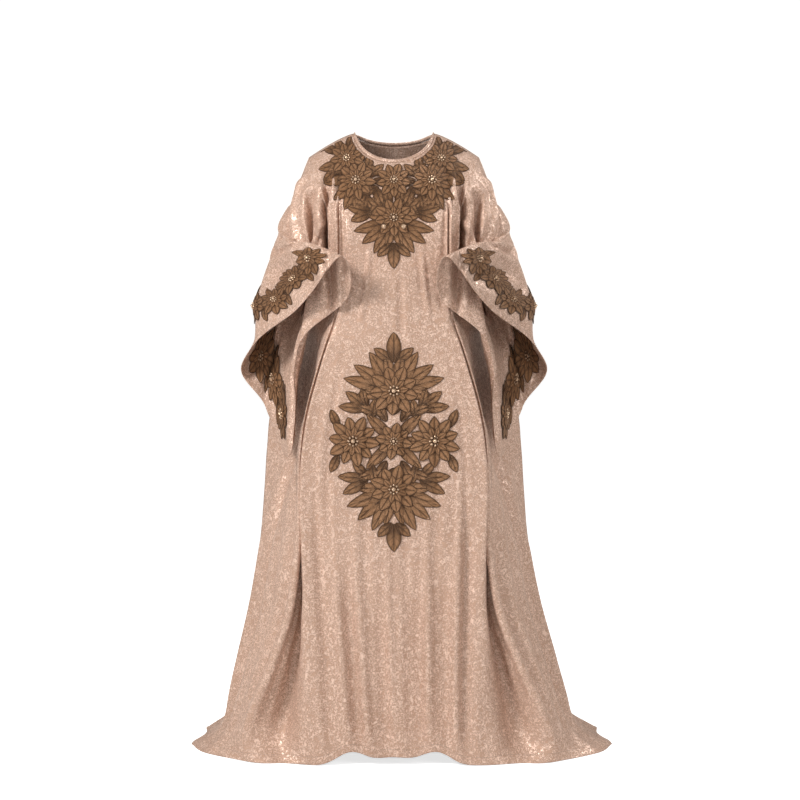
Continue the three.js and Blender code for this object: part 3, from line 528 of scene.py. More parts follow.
# Back panel: the same width of jacquard, cut to the shoulders and falling straight to the floor behind. It
# hangs in long soft folds that open towards the hem, and is sewn to the front at shoulders and sides.
# Each row: height, the seam edge's X and Y, and the middle's Y.
BACK = np.array([
    [0, 494, 6, 322], [44, 424, 22, 296], [116, 392, 32, 272], [230, 364, 46, 246],
    [340, 340, 62, 228], [480, 317, 76, 212], [600, 308, 98, 200], [690, 303, 116, 190],
    [790, 290, 118, 180], [900, 232, 94, 168], [950, 207, 50, 161], [1000, 216, 14, 154],
    [1060, 200, 66, 146], [1120, 186, 96, 138], [1190, 172, 104, 128], [1250, 166, 98, 120],
], float)
# Each long fold: place from the seam (0) to the middle (1), width, depth at the hem and high up, its top.
BACK_LONG_FOLDS = [
    (0.14, 0.075, -8, -10, 1050),
    (0.3, 0.055, 34, 14, 1180),
    (0.45, 0.06, -34, -12, 1120),
    (0.62, 0.06, 30, 12, 1240),
    (0.78, 0.06, -32, -12, 1200),
    (0.93, 0.055, 24, 8, 1260),
]
BACK_COUNT = 16


def back_section(s, height):
    """The same for the back."""
    edge_x, edge_y, middle_y = (smooth(BACK[:, 0], BACK[:, k], height) for k in (1, 2, 3))
    turn = (1 - s)[:, None] * math.pi / 2
    x = edge_x * np.clip(np.cos(turn), 0, 1) ** 0.86
    y = edge_y + (middle_y - edge_y) * np.sin(turn) ** 0.9
    out_x, out_y = 0.7 * np.cos(turn), np.sin(turn) + 0.15
    length = np.hypot(out_x, out_y)
    for at, width, hem_depth, top_depth, top in BACK_LONG_FOLDS:
        fade = 1 - ramp(height, top - 220, top)
        depth = hem_depth + (top_depth - hem_depth) * np.minimum(height / 900, 1)
        push = depth * fade * bell((1 - s)[:, None] - at, width)
        x = x + out_x / length * push
        y = y + out_y / length * push
    return x, y


# Finer folds, listed as for the front.
BACK_FOLDS = [
    (-0.5, 1330, -0.42, 700, 0.02, 0.03, 0.04, 6),
    (-0.2, 1340, -0.16, 640, 0, 0.03, 0.045, -8),
    (0.12, 1350, 0.14, 620, 0, 0.03, 0.045, 6),
    (0.44, 1330, 0.38, 700, -0.02, 0.03, 0.04, -6),
    (-0.8, 1300, -0.74, 760, 0.02, 0.026, 0.034, -8),
    (0.8, 1300, 0.75, 760, -0.02, 0.026, 0.034, -8),
    (-0.34, 700, -0.33, 40, 0, 0.022, 0.03, 8),
    (0.06, 560, 0.05, 30, 0, 0.024, 0.034, -8),
    (0.36, 640, 0.35, 40, 0, 0.022, 0.03, 8),
]
BACK_FINE_COLUMNS = 80
back_half = np.linspace(0, BACK_COUNT, BACK_FINE_COLUMNS)
back_columns = np.concatenate([-back_half[:0:-1], back_half])
back_points = panel_surface(
    back_section, lambda j: j / BACK_COUNT, BACK_COUNT, BACK_DROP, back_columns, fine_rows
)
back_points = back_points[:, ::-1]
back_across = np.broadcast_to(back_columns[::-1] / BACK_COUNT, back_points.shape[:2])
back_points = lay_folds(back_points, grid_normals(back_points), back_across, back_points[..., 2], BACK_FOLDS)
back_points[..., 2] = np.maximum(back_points[..., 2], FLOOR_CLEAR)
# Below the underarm its edges lie on the front's, along the side seams.
low = fine_rows <= LOW_ROWS
back_points[low, 0] = front_points[low, -1]
back_points[low, -1] = front_points[low, 0]
back_panel = cloth_piece("back_panel", back_points)

# Sleeves: wide bells, each one length of jacquard folded over at the top and sewn to a dropped armhole.
# The top fold reaches forward, and the rest hangs below it with the hem open to the front. Each line runs
# from near the armhole to the hem.
SLEEVE_SECTIONS = [0, 0.34, 0.62, 0.82, 1]
SLEEVE_LINES = [
    ("underarm seam", (-238, -2, 905), (-240, -24, 800), (-243, -40, 738), (-243, -52, 682)),
    ("inside, low", (-194, -72, 976), (-222, -72, 892), (-228, -74, 846), (-230, -78, 800)),
    ("inside, middle", (-168, -118, 1146), (-196, -116, 1044), (-204, -116, 994), (-210, -116, 950)),
    ("inside, high", (-188, -92, 1252), (-188, -108, 1142), (-142, -152, 1094), (-101, -166, 1052)),
    ("top fold", (-235, -10, 1272), (-258, -48, 1184), (-186, -158, 1170), (-116, -245, 1141)),
    ("outside, high", (-238, 44, 1212), (-282, 10, 1092), (-254, -78, 1056), (-220, -142, 1018)),
    ("outer tip", (-240, 92, 1096), (-304, 58, 994), (-332, 44, 938), (-356, 30, 892)),
    ("outside, low", (-252, 64, 985), (-276, 74, 884), (-290, 74, 834), (-300, 66, 788)),
]
# Long soft folds: place round the sleeve, its turn towards the hem, width, depth, and where it runs.
SLEEVE_LONG_FOLDS = [
    (0.35, 0.02, 0.045, -9, 0.05, 0.62),
    (0.43, 0.02, 0.04, 7, 0.05, 0.6),
    (0.57, 0.03, 0.045, -8, 0.1, 0.8),
    (0.67, 0.02, 0.05, 7, 0.2, 1.00),
    (0.84, 0, 0.05, -9, 0.2, 1.00),
    (0.1, 0, 0.05, 7, 0.3, 1.00),
]
# Creases and broad soft ridges: place round and along at the start, the same at the end, bow, widths and
# height.
SLEEVE_CREASES = [
    (0.61, 0.2, 0.6, 0.66, 0, 0.06, 0.055, 20),
    (0.69, 0.36, 0.66, 1.00, 0, 0.05, 0.04, 15),
    (0.4, 0.06, 0.36, 0.56, 0.01, 0.012, 0.012, -11),
    (0.47, 0.05, 0.42, 0.6, 0.02, 0.012, 0.012, 9),
    (0.52, 0.1, 0.45, 0.62, 0.02, 0.012, 0.01, -9),
    (0.58, 0.16, 0.47, 0.66, 0.02, 0.012, 0.01, 9),
    (0.3, 0.05, 0.3, 0.5, 0, 0.014, 0.012, 11),
    (0.64, 0.3, 0.52, 0.74, 0.01, 0.014, 0.01, -9),
    (0.62, 0.62, 0.6, 0.98, 0, 0.012, 0.018, 9),
    (0.72, 0.3, 0.72, 0.98, 0, 0.014, 0.022, -11),
    (0.8, 0.35, 0.79, 0.98, 0, 0.016, 0.024, 11),
    (0.9, 0.3, 0.89, 0.98, 0, 0.016, 0.022, -9),
    (0.04, 0.3, 0.04, 0.98, 0, 0.014, 0.02, 9),
    (0.18, 0.3, 0.18, 0.98, 0, 0.014, 0.02, -9),
]
SLEEVE_AROUND = 192
SLEEVE_ALONG = 84


def closed_curve(points, at):
    """Smooth closed curve through points, at places from 0 to 1."""
    points = np.asarray(points, float)
    count = len(points)
    k = np.floor(at * count).astype(int)
    t = (at * count - k)[:, None]
    a, b, c, d = (points[(k + n) % count] for n in (-1, 0, 1, 2))
    return 0.5 * (2 * b + (c - a) * t + (2 * a - 5 * b + 4 * c - d) * t**2 + (3 * b - a - 3 * c + d) * t**3)


def sleeve_armhole(side):
    """The panels' edge points round one armhole, from the underarm up the front and down the back."""
    around = np.arange(SLEEVE_AROUND) / SLEEVE_AROUND
    rows = np.where(around < 0.5, around * 2, 2 - around * 2) * HIGH_ROWS + LOW_ROWS
    front_edge = front_points[:, -1 if side > 0 else 0]
    back_edge = back_points[:, 0 if side > 0 else -1]
    up_front, down_back = (
        np.stack([np.interp(rows, fine_rows, edge[:, k]) for k in range(3)], axis=1)
        for edge in (front_edge, back_edge)
    )
    return np.where((around < 0.5)[:, None], up_front, down_back)


def sleeve_points(side):
    """Outer points of a sleeve: rows from the armhole to the hem, columns round it from the underarm."""
    around = np.arange(SLEEVE_AROUND) / SLEEVE_AROUND
    rings = [sleeve_armhole(side)]
    for k in range(1, len(SLEEVE_SECTIONS)):
        ring = closed_curve([line[k] for line in SLEEVE_LINES], around)
        ring[:, 0] *= -side
        rings.append(ring)
    v = np.linspace(0, 1, SLEEVE_ALONG)
    points = smooth(SLEEVE_SECTIONS, np.array(rings), v)
    # The right sleeve's columns run the other way round, so that its outer side faces out.
    points = points[:, ::-side]
    around = around[::-side]
    normals = grid_normals(points, True)
    place_round, place_along = np.meshgrid(around, v)
    rise = np.zeros(place_round.shape)
    for at, turn, width, depth, start, end in SLEEVE_LONG_FOLDS:
        offset = np.abs(place_round - at - turn * place_along)
        fade = ramp(place_along, start, start + 0.2) * (1 - ramp(place_along, end, end + 0.15))
        rise += depth * bell(np.minimum(offset, 1 - offset), width) * fade
    points = points + normals * rise[..., None]
    # Folds are laid from above to below, so places along the sleeve count downwards here.
    creases = [(start, -start_along, end, -end_along, *rest)
               for start, start_along, end, end_along, *rest in SLEEVE_CREASES]
    return lay_folds(points, grid_normals(points, True), place_round, -place_along, creases, wrap=1.0)


sleeves = {}
for side, name in ((-1, "left"), (1, "right")):
    points = press_seam_folds(sleeve_points(side))
    points[0] = sleeve_armhole(side)[::-side]
    sleeves[name] = points
    cloth_piece(f"sleeve_{name}", points, closed=True)

# Neck band: a narrow bias strip of the same jacquard, folded over the neck edge and stitched down.
# It stands up a little and leans in to the neck, all the way round.
NECK_AXIS_Y = -16.0
BAND_LEAN = 0.55
BAND_UPRIGHT = 0.84
CORNER_REACH = 14
CORNER_SINK = 0.65
# The strip's section: how far up and how far out from the neck edge.
BAND_PROFILE = [
    (0.3, 0.0), (0.8, 0.6), (3.0, 0.9), (6.0, 0.9), (8.4, 0.5),
    (9.0, -0.6), (8.4, -1.8), (5.0, -2.2), (0.8, -2.0),
]

neck_front = front_points[-1][np.abs(front_columns) <= front_count - SHOULDER_COLUMNS]
neck_back = back_points[-1][np.abs(back_columns[::-1]) <= BACK_COUNT - SHOULDER_COLUMNS]
neck_edge = np.concatenate([neck_front, neck_back[1:-1]])
steps = np.linalg.norm(np.roll(neck_edge, -1, axis=0) - neck_edge, axis=1)
neck_edge = neck_edge[steps > 0.5]
lean = unit(np.array([0, NECK_AXIS_Y, 0]) - neck_edge * np.array([1, 1, 0]))
rise = unit(lean * BAND_LEAN + np.array([0, 0, BAND_UPRIGHT]))
band_out = unit(np.cross(np.roll(neck_edge, -1, axis=0) - np.roll(neck_edge, 1, axis=0), rise))
corner = np.minimum(np.abs(np.abs(neck_edge[:, 0]) - NECK_HALF), 40) + np.abs(neck_edge[:, 2] - NECK_HEIGHT)
rise = rise * (1 - CORNER_SINK * bell(corner, CORNER_REACH))[:, None]
band_points = np.stack([neck_edge + rise * up + band_out * out for up, out in BAND_PROFILE])
band_points = np.concatenate([band_points, band_points[:1]])
neck_band = cloth_piece("neck_band", band_points, closed=True)
# The strip is closed in itself, so it needs no thickness, only its seam joined.
neck_band.modifiers.clear()
bm = bmesh.new()
bm.from_mesh(neck_band.data)
bmesh.ops.remove_doubles(bm, verts=bm.verts, dist=1e-6)
bmesh.ops.recalc_face_normals(bm, faces=bm.faces)
bm.to_mesh(neck_band.data)
bm.free()

# Stitching: a row of small stitches of sewing thread holds the turned hems of the panels and the sleeves.
# Each stitch is a short bar of thread that lies on the cloth.
STITCH_PITCH = 5.0
STITCH_LENGTH = 3.4
STITCH_RADIUS = 0.5
THREAD_DARK = (0.3, 0.205, 0.155, 1.0)
THREAD_LIGHT = (0.46, 0.34, 0.27, 1.0)
# Rings of a stitch: place along it, and size.
STITCH_RINGS = [(-0.5, 0.45), (-0.2, 1.0), (0.2, 1.0), (0.5, 0.45)]
STITCH_SIDES = 4

thread, tree, shader = new_material("champagne sewing thread", {"Roughness": 0.45})
twist = add_node(tree, "TexNoise", {"Scale": 700.0})
twist_tone = add_node(tree, "Mix", {"A": THREAD_DARK, "B": THREAD_LIGHT}, data_type="RGBA")
wire(tree, (twist, "Fac", twist_tone, "Factor"), (twist_tone, "Result", shader, "Base Color"))


def stitch_row(name, node, path, normals):
    """Bars of thread along a path of points that lie on the cloth."""
    lengths = np.concatenate([[0], np.cumsum(np.linalg.norm(np.diff(path, axis=0), axis=1))])
    starts = np.arange(STITCH_PITCH, lengths[-1] - STITCH_PITCH, STITCH_PITCH)

    def at(where, values):
        return np.stack([np.interp(where, lengths, values[:, k]) for k in range(3)], axis=1)

    up = unit(at(starts, normals))
    ahead = unit(at(starts + 1, path) - at(starts - 1, path))
    side = np.cross(up, ahead)
    points, faces = [], []
    for along, size in STITCH_RINGS:
        for turn in range(STITCH_SIDES):
            angle = turn / STITCH_SIDES * 2 * math.pi
            offset = side * math.cos(angle) + up * (math.sin(angle) + 0.5)
            points.append(at(starts, path) + ahead * along * STITCH_LENGTH + offset * STITCH_RADIUS * size)
    points = np.stack(points, axis=1).reshape(-1, 3)
    one_stitch = grid_faces(len(STITCH_RINGS), STITCH_SIDES, closed=True) + [(3, 2, 1, 0), (12, 13, 14, 15)]
    for k in range(len(starts)):
        first = k * len(STITCH_RINGS) * STITCH_SIDES
        faces += [tuple(first + corner for corner in face) for face in one_stitch]
    return mesh_piece(name, node, points, faces, [thread])


HEM_STITCH_ROW = 4
SLEEVE_STITCH_ROW = -3
front_hem_stitches, back_hem_stitches = (
    stitch_row(name, node, points[HEM_STITCH_ROW], grid_normals(points)[HEM_STITCH_ROW])
    for name, node, points in (
        ("front_hem_stitches", "front_panel", front_points),
        ("back_hem_stitches", "back_panel", back_points),
    )
)
sleeve_pieces = {}
for name, points in sleeves.items():
    ring, outward = (
        np.concatenate([grid[SLEEVE_STITCH_ROW], grid[SLEEVE_STITCH_ROW, :1]])
        for grid in (points, grid_normals(points, True))
    )
    sleeve_pieces[name] = [stitch_row(f"sleeve_{name}_hem_stitches", f"sleeve_{name}", ring, outward)]

# Lace: corded applique of bronze satin thread, cut out and sewn on after the kaftan is made up.
# Its flowers and leaves are drawn flat in millimetres, with the third number as height above the cloth.
# Each lace colour pair runs from a dark end, painted shade, to a light end, painted highlight; a random
# mottle also mixes them.
BRONZE = (0.062, 0.026, 0.011, 1.0)
BRONZE_LIGHT = (0.26, 0.132, 0.064, 1.0)
CORD_DARK = (0.035, 0.016, 0.008, 1.0)
CORD_LIGHT = (0.085, 0.043, 0.024, 1.0)
PEARL = (0.62, 0.45, 0.32, 1.0)
PEARL_SHADE = (0.42, 0.26, 0.14, 1.0)
LACE_THREAD_SCALE = 420.0
FLOWER_LIFT = 2.0
PETAL_ROWS = 10
PETAL_COLUMNS = 9
RIM_STEPS = 13
CORD_SIDES = 5
BEAD_RINGS = 5
BEAD_SIDES = 8


def lace_material(name, dark, light, rough, metallic, scale, depth):
    """Thread or bead whose colour goes from dark to light with the painted shading on its points and a
    random mottle.
    """
    material, tree, shader = new_material(name, {
        "Roughness": rough, "Metallic": metallic, "Specular Tint": (1.0, 0.75, 0.55, 1.0),
    })
    position = add_node(tree, "TexCoord")
    patch = add_node(tree, "TexNoise", {"Scale": scale, "Detail": 3.0})
    # Painted shading: the points' tone, low in shade and high where highlights fall, picks the colour
    # between the dark and light ends.
    tone = add_node(tree, "Attribute", attribute_name="painted shading")
    mottle = add_node(tree, "MapRange", {"From Min": 0.3, "From Max": 0.7, "To Min": 0.55, "To Max": 1.1})
    factor = add_node(tree, "Math", operation="MULTIPLY", use_clamp=True)
    blend = add_node(tree, "Mix", {"A": dark, "B": light}, data_type="RGBA")
    weave = add_node(tree, "Group", node_tree=woven_threads)
    weave.inputs["Scale"].default_value = LACE_THREAD_SCALE
    bump = add_node(tree, "Bump", {"Strength": 0.5, "Distance": depth})
    wire(
        tree,
        (position, "Object", patch, "Vector"),
        (patch, "Fac", mottle, "Value"),
        (tone, "Fac", factor, 0),
        (mottle, "Result", factor, 1),
        (factor, "Value", blend, "Factor"),
        (blend, "Result", shader, "Base Color"),
        (weave, "Height", bump, "Height"),
        (bump, "Normal", shader, "Normal"),
    )
    return material


LACE_MATERIALS = [
    lace_material("bronze satin thread", BRONZE, BRONZE_LIGHT, 0.34, 0.2, 260.0, 0.0006),
    lace_material("dark lace cord", CORD_DARK, CORD_LIGHT, 0.5, 0.05, 300.0, 0.0004),
    lace_material("pearl beads", PEARL_SHADE, PEARL, 0.22, 0.55, 200.0, 0.0001),
]
FILL, CORD, BEAD = 0, 1, 2


def petal(x, y, angle, length, width, lift=1.0, widest=0.5, veins=3, cord=0.95):
    """A pointed petal or leaf: a cupped blade, a cord round it, and veins from its midrib."""
    t, s = np.meshgrid(np.linspace(0, 1, PETAL_ROWS), np.linspace(-1, 1, PETAL_COLUMNS), indexing="ij")

    def blade(t, s):
        """Flat place, height and painted shading at t along the blade (0 to 1) and s across it (-1 to 1)."""
        opening = np.sin(np.minimum(t / widest, 1) * math.pi / 2) ** 0.7
        closing = np.cos(np.clip((t - widest) / (1 - widest), 0, 1) * math.pi / 2) ** 0.85
        along, side = t * length, s * (0.06 + 0.94 * np.where(t < widest, opening, closing)) * width / 2
        rise = lift + 1.3 * (1 - s**2) * np.sin(math.pi * np.clip(t, 0.05, 0.95)) - 0.9 * bell(s, 0.16)
        rise = rise + 0.3 * np.cos(26 * (t - 0.25 * np.abs(s))) * np.abs(s) * (1 - s**2)
        # Painted shading: dark at the root, in the midrib groove and at the edges where petals overlap, and
        # light towards the tip and mid-blade as a painted highlight. The cords round and along the blade
        # carry the same tone.
        tone = (0.12 + 0.95 * ramp(t, 0.22, 0.7)) * (0.45 + 0.75 * bell(np.abs(s) - 0.45, 0.3))
        right = x + along * math.cos(angle) - side * math.sin(angle)
        up = y + along * math.sin(angle) + side * math.cos(angle)
        return np.stack([right, up, rise, tone], axis=-1)

    parts = [(blade(t, s).reshape(-1, 4), grid_faces(PETAL_ROWS, PETAL_COLUMNS), FILL)]
    edge = np.linspace(0, 1, RIM_STEPS)
    rim = np.concatenate([blade(edge, np.ones(RIM_STEPS)), blade(edge[-2::-1], -np.ones(RIM_STEPS - 1))])
    parts.append(cord_line(rim, cord))
    parts.append(cord_line(blade(np.linspace(0.05, 0.92, 5), np.zeros(5)) + [0, 0, 0.3, 0], cord * 0.8))
    for k in range(veins):
        start = 0.18 + 0.5 * k / max(veins - 1, 1)
        for side in (-1, 1):
            vein = blade(np.linspace(start, start + 0.2, 3), side * np.linspace(0, 0.85, 3))
            parts.append(cord_line(vein + [0, 0, 0.1, 0], cord * 0.5))
    return parts


def cord_line(points, radius):
    """A round cord along flat points."""
    ahead = np.gradient(points[:, :2], axis=0)
    ahead /= np.maximum(np.linalg.norm(ahead, axis=1, keepdims=True), 1e-6)
    side = np.stack([-ahead[:, 1], ahead[:, 0], np.zeros(len(points)), np.zeros(len(points))], axis=1)
    rings = []
    for k in range(CORD_SIDES):
        turn = k / CORD_SIDES * 2 * math.pi
        rings.append(points + side * math.cos(turn) * radius + np.array([0, 0, math.sin(turn) * radius, 0]))
    return np.stack(rings, axis=1).reshape(-1, 4), grid_faces(len(points), CORD_SIDES, closed=True), CORD


def bead(x, y, height, radius):
    """A small round bead, painted lighter on top as a highlight and darker underneath as shade."""
    verts = []
    for ring in range(BEAD_RINGS):
        tilt = math.pi * ring / (BEAD_RINGS - 1)
        out, up = radius * max(math.sin(tilt), 0.05), math.cos(tilt)
        for k in range(BEAD_SIDES):
            turn = k / BEAD_SIDES * 2 * math.pi
            right, ahead = out * math.cos(turn), out * math.sin(turn)
            # The fourth number is painted shading: light at the top, dark underneath.
            verts.append((x + right, y + ahead, height + radius * up, 0.5 + 0.5 * up))
    return np.array(verts), grid_faces(BEAD_RINGS, BEAD_SIDES, closed=True), BEAD


def blossom(x, y, radius, petals, turn, lift):
    """A flower of two rings of petals about a cluster of beads."""
    parts = []
    for k in range(petals):
        angle = turn + (k + 0.5) / petals * 2 * math.pi
        length = radius * (1.0 if k % 2 else 0.93)
        parts += petal(x, y, angle, length, radius * 4.1 / petals, lift + 0.5 * (k % 2), 0.62, 1)
    for k in range(petals):
        angle = turn + k / petals * 2 * math.pi
        parts += petal(x, y, angle, radius * 0.56, radius * 2.3 / petals, lift + 2.0, 0.6, 0, 0.7)
    out = 0.17 * radius
    for k in range(8):
        angle = k / 8 * 2 * math.pi
        parts.append(bead(x + out * math.cos(angle), y + out * math.sin(angle), lift + 3.2, 0.05 * radius))
    parts.append(bead(x, y, lift + 3.6, 0.10 * radius))
    return parts


def spray(leaves, flowers, middle=0.0):
    """Leaves on the right and, mirrored, on the left, with flowers on top, about a middle height.

    A leaf on the middle line that points straight up or down is made once."""
    parts = []
    for x, y, degrees, length, width in leaves:
        angle = math.radians(degrees)
        parts += petal(x, middle + y, angle, length, width)
        if x != 0 or abs(degrees) != 90:
            parts += petal(-x, middle + y, math.pi - angle, length, width)
    for x, y, radius, petals, turn in flowers:
        parts += blossom(x, middle + y, radius, petals, turn, FLOWER_LIFT)
    return parts


def lace_piece(name, node, parts, place):
    """Lays flat lace on the cloth and makes it one object."""
    counts = np.cumsum([0] + [len(verts) for verts, _, _ in parts])
    flat = np.concatenate([verts for verts, _, _ in parts])
    point, normal = place(flat[:, 0], flat[:, 1])
    faces = [tuple(i + start for i in face) for (_, part, _), start in zip(parts, counts) for face in part]
    kinds = [kind for _, part, kind in parts for _ in part]
    piece = mesh_piece(name, node, point + normal * flat[:, 2:3], faces, LACE_MATERIALS, kinds)
    # The fourth number of each point is its painted shading, dark for shade and light for highlight.
    tone = piece.data.attributes.new("painted shading", "FLOAT", "POINT")
    tone.data.foreach_set("value", flat[:, 3].astype(np.float32))
    return piece


front_tree = BVHTree.FromPolygons(front_points.reshape(-1, 3).tolist(), grid_faces(*front_points.shape[:2]))
FIELD_STEP = 4.0


def blend(grid, i, near, far, a, b):
    """Value between rows i and i + 1 at a, and between the columns near and far at b."""
    low = grid[i, near] * (1 - b) + grid[i, far] * b
    return low * (1 - a) + (grid[i + 1, near] * (1 - b) + grid[i + 1, far] * b) * a


RAY_START_Y = -600
FRONT_LIMIT_Y = 60


def front_place(width, low, high):
    """Gives the front's outer point and normal straight behind places of the front view."""
    xs = np.arange(-width, width + FIELD_STEP, FIELD_STEP)
    zs = np.arange(low, high + FIELD_STEP, FIELD_STEP)
    depth = np.full((len(zs), len(xs)), np.nan)
    for i, z in enumerate(zs):
        for j, x in enumerate(xs):
            hit = front_tree.ray_cast(Vector((x, RAY_START_Y, z)), Vector((0, 1, 0)))[0]
            if hit is not None and hit.y < FRONT_LIMIT_Y:
                depth[i, j] = hit.y
    for i in range(1, len(zs)):
        missing = np.isnan(depth[i])
        depth[i, missing] = depth[i - 1, missing] + FIELD_STEP
    slope_z, slope_x = np.gradient(depth, FIELD_STEP)

    def place(x, height):
        u = np.clip((x - xs[0]) / FIELD_STEP, 0, len(xs) - 1.001)
        v = np.clip((height - zs[0]) / FIELD_STEP, 0, len(zs) - 1.001)
        i, j = v.astype(int), u.astype(int)
        corners = (i, j, j + 1, v - i, u - j)
        normal = np.stack([blend(slope_x, *corners), -np.ones_like(x), blend(slope_z, *corners)], axis=1)
        return np.stack([x, blend(depth, *corners), height], axis=1), unit(normal)

    return place


# Skirt lace: a long medallion of corded thread sewn on below the waist, of four large flowers about a small
# one, with a fan of pointed leaves above and below and sprigs at its sides. Places are from its middle.
MEDALLION = 728.0
# Each flower: place, radius, petals and turn.
SKIRT_FLOWERS = [
    (0, 113, 59, 9, 0.1), (0, -108, 56, 9, 0.3), (91, 0, 59, 10, 0.0), (-91, 0, 59, 10, 0.2),
    (0, 0, 42, 8, 0.2),
]
# Leaves of one side: where each grows from, its angle in degrees, length and width.
SKIRT_LEAVES = [
    (0, 176, 90, 68, 32), (4, 178, 37, 50, 22), (0, 118, 76, 80, 26), (0, 113, 58, 102, 32),
    (0, 113, 33, 106, 32), (0, 113, 14, 116, 31), (0, 112, -6, 84, 28), (58, 72, 5, 66, 24),
    (60, 74, 38, 60, 24), (60, 74, 74, 46, 20), (30, 60, 20, 60, 22), (0, 0, 45, 88, 26),
    (16, 0, 0, 46, 20), (16, 44, 60, 50, 22), (50, 50, 100, 46, 20), (0, -186, -90, 62, 32),
    (4, -184, -42, 44, 22), (0, -108, -76, 84, 26), (0, -108, -62, 104, 31), (0, -108, -40, 106, 32),
    (0, -108, -20, 112, 31), (0, -106, 0, 84, 28), (58, -84, 4, 68, 24), (58, -88, -28, 64, 24),
    (60, -80, 46, 46, 20), (30, -66, -20, 60, 22), (0, 0, -45, 88, 26), (16, -44, -60, 50, 22),
    (50, -50, -100, 46, 20), (124, 30, 66, 44, 20), (124, -30, -66, 44, 20), (0, 60, 62, 50, 20),
    (0, -60, -62, 50, 20),
]
skirt_parts = spray(SKIRT_LEAVES, SKIRT_FLOWERS, MEDALLION)
skirt_lace = lace_piece("skirt_lace_applique", "skirt_lace", skirt_parts, front_place(180, 460, 1000))

# Yoke lace: the same corded lace sewn round the neck and down the chest, of six flowers with sprigs, two
# round beads and a fan of leaves at the tip. It is trimmed clear of the neck band and the shoulder seams.
NECK_CLEAR = 6.0
SEAM_CLEAR = 8.0
YOKE_FLOWERS = [
    (0, 1228, 46, 9, 0.2), (0, 1311, 41, 9, 0.2), (85, 1311, 46, 10, 0.0), (-85, 1311, 46, 10, 0.2),
    (106, 1362, 41, 9, 0.3), (-106, 1362, 41, 9, 0.1),
]
YOKE_LEAVES = [
    (0, 1172, -90, 58, 27), (3, 1170, -40, 44, 20), (0, 1218, -72, 62, 24), (0, 1218, -57, 82, 27),
    (0, 1220, -35, 86, 28), (0, 1220, -14, 92, 27), (0, 1226, 8, 62, 24), (48, 1238, 15, 60, 24),
    (48, 1240, -22, 52, 23), (50, 1244, 42, 46, 21), (20, 1236, 50, 48, 22), (84, 1300, -64, 60, 25),
    (84, 1300, -94, 58, 25), (84, 1304, -34, 62, 25), (98, 1316, -8, 62, 24), (104, 1330, 16, 56, 23),
    (44, 1300, -112, 56, 23), (24, 1270, -50, 48, 21), (48, 1312, 192, 52, 22), (116, 1352, -14, 56, 23),
    (112, 1372, 62, 46, 21), (30, 1322, 34, 50, 21), (58, 1318, 140, 46, 20), (84, 1330, 78, 48, 21),
    (34, 1296, -20, 44, 20), (70, 1280, -130, 46, 21), (8, 1252, 76, 48, 22), (92, 1344, 130, 44, 20),
    (106, 1364, 158, 46, 20), (126, 1340, -40, 44, 20), (104, 1384, 104, 40, 20), (124, 1376, 26, 48, 21),
    (60, 1330, 100, 44, 20), (96, 1292, -110, 50, 22), (58, 1290, -76, 52, 21),
]
yoke_parts = spray(YOKE_LEAVES, YOKE_FLOWERS)
for side in (-1, 1):
    yoke_parts.append(bead(side * 22, 1207, 5.0, 6.5))
for verts, _, _ in yoke_parts:
    across = verts[:, 0] / (NECK_HALF + NECK_CLEAR)
    down = (verts[:, 1] - NECK_HEIGHT) / (FRONT_DROP + NECK_CLEAR)
    from_axis = np.hypot(across, down)
    push = np.where((from_axis < 1) & (verts[:, 1] < NECK_HEIGHT + 20), 1 / np.maximum(from_axis, 0.05), 1)
    verts[:, 0] *= push
    verts[:, 1] = NECK_HEIGHT + (verts[:, 1] - NECK_HEIGHT) * push
    verts[:, 1] = np.minimum(verts[:, 1], apex_height(verts[:, 0]) - SEAM_CLEAR)
yoke_lace = lace_piece("yoke_lace_applique", "yoke_lace", yoke_parts, front_place(200, 1080, 1420))

# Sleeve lace: a band of the same corded lace is sewn along each sleeve's hem on the outside, and a shorter
# one on the inside of its back half, where the hanging sleeve opens to the front.
BAND_FIRST = 58.0
BAND_STEP = 92.0
BAND_HEIGHTS = (74.0, 92.0)
BAND_RADIUS = 57
# Leaves midway between two flowers: place aside and up, angle in degrees, length and width.
BAND_LEAVES = [(-6, 58, 78, 66, 27), (10, 60, 112, 56, 24), (0, 70, -84, 50, 24)]
WALL = 1.8
EDGE_CLEAR = 4


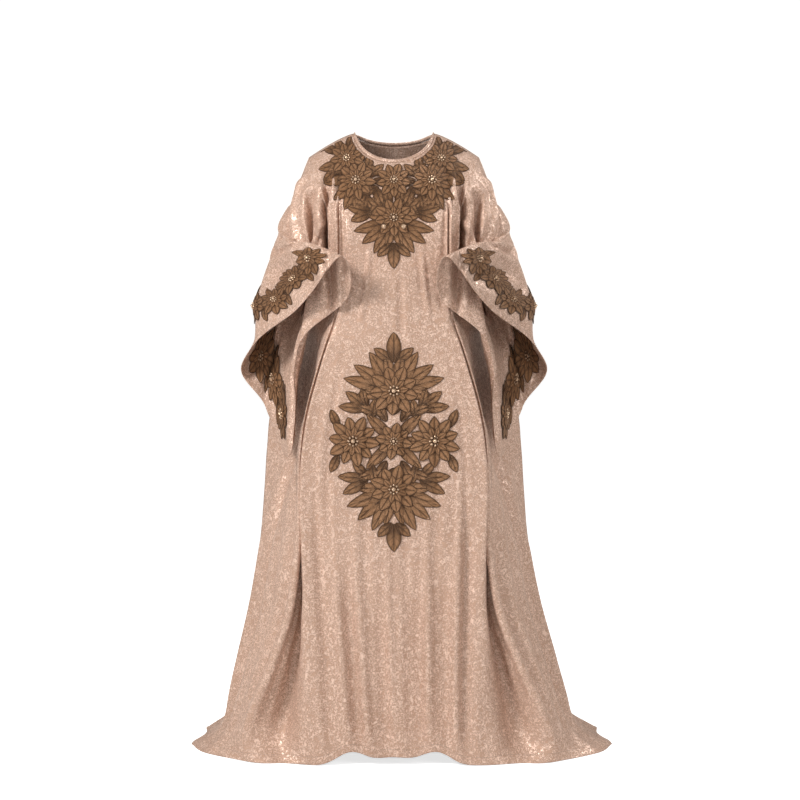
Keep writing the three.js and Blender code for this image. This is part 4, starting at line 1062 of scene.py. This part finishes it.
def hem_place(points, side, start, inside):
    """Places a flat band near a sleeve's hem: x along it from a place round the sleeve, y up the cloth."""
    normals = grid_normals(points, True)
    face = points - normals * WALL if inside else points
    rows, columns = points.shape[:2]
    along = np.arange(columns) / columns

    def column(round_sleeve):
        """The column at a place round the sleeve, past the last one where it goes round again."""
        turned = (start + round_sleeve) * columns
        return turned if side < 0 else columns - 1 - turned

    hem = face[-1][np.round(column(along) % columns).astype(int) % columns]
    lengths = np.concatenate([[0], np.cumsum(np.linalg.norm(np.diff(hem, axis=0), axis=1))])

    def sample(grid, v, u):
        i = np.clip(v.astype(int), 0, rows - 2)
        j = np.floor(u).astype(int)
        return blend(grid, i, j % columns, (j + 1) % columns, (v - i)[:, None], (u - j)[:, None])

    def place(x, y):
        u = column(np.interp(x, lengths, along))
        last = np.full(len(x), rows - 1.0)
        spacing = np.linalg.norm(sample(face, last - 12, u) - sample(face, last, u), axis=1) / 12
        v = last - np.maximum(y, EDGE_CLEAR) / spacing
        return sample(face, v, u), unit(sample(normals, v, u) * (-1 if inside else 1))

    return place


def hem_band(count):
    """Flat flowers on a string of leaves, the flowers by turns nearer the hem and further up."""
    places = [(BAND_FIRST + k * BAND_STEP, BAND_HEIGHTS[k % 2]) for k in range(count)]
    parts = []
    for k, (x, y) in enumerate(places):
        if k < count - 1:
            parts += petal(x, y, 0.0, BAND_STEP, 26)
            for aside, up, degrees, length, width in BAND_LEAVES:
                parts += petal(x + BAND_STEP / 2 + aside, up, math.radians(degrees), length, width)
        parts += petal(x, y, math.radians(90), 64, 26)
    for k, (x, y) in enumerate(places):
        parts += blossom(x, y, BAND_RADIUS, 9, 0.2 * k, FLOWER_LIFT)
    return parts


# Each band: its kind, its flowers, where it starts round the sleeve, and whether it lies inside.
BANDS = [("cuff_lace", 4, 0.5, False), ("inner_lace", 3, 0.75, True)]
for name, side in (("left", -1), ("right", 1)):
    for kind, flowers, start, inside in BANDS:
        node = f"{kind}_{name}"
        place = hem_place(sleeves[name], side, start, inside)
        sleeve_pieces[name].append(lace_piece(f"{node}_applique", node, hem_band(flowers), place))
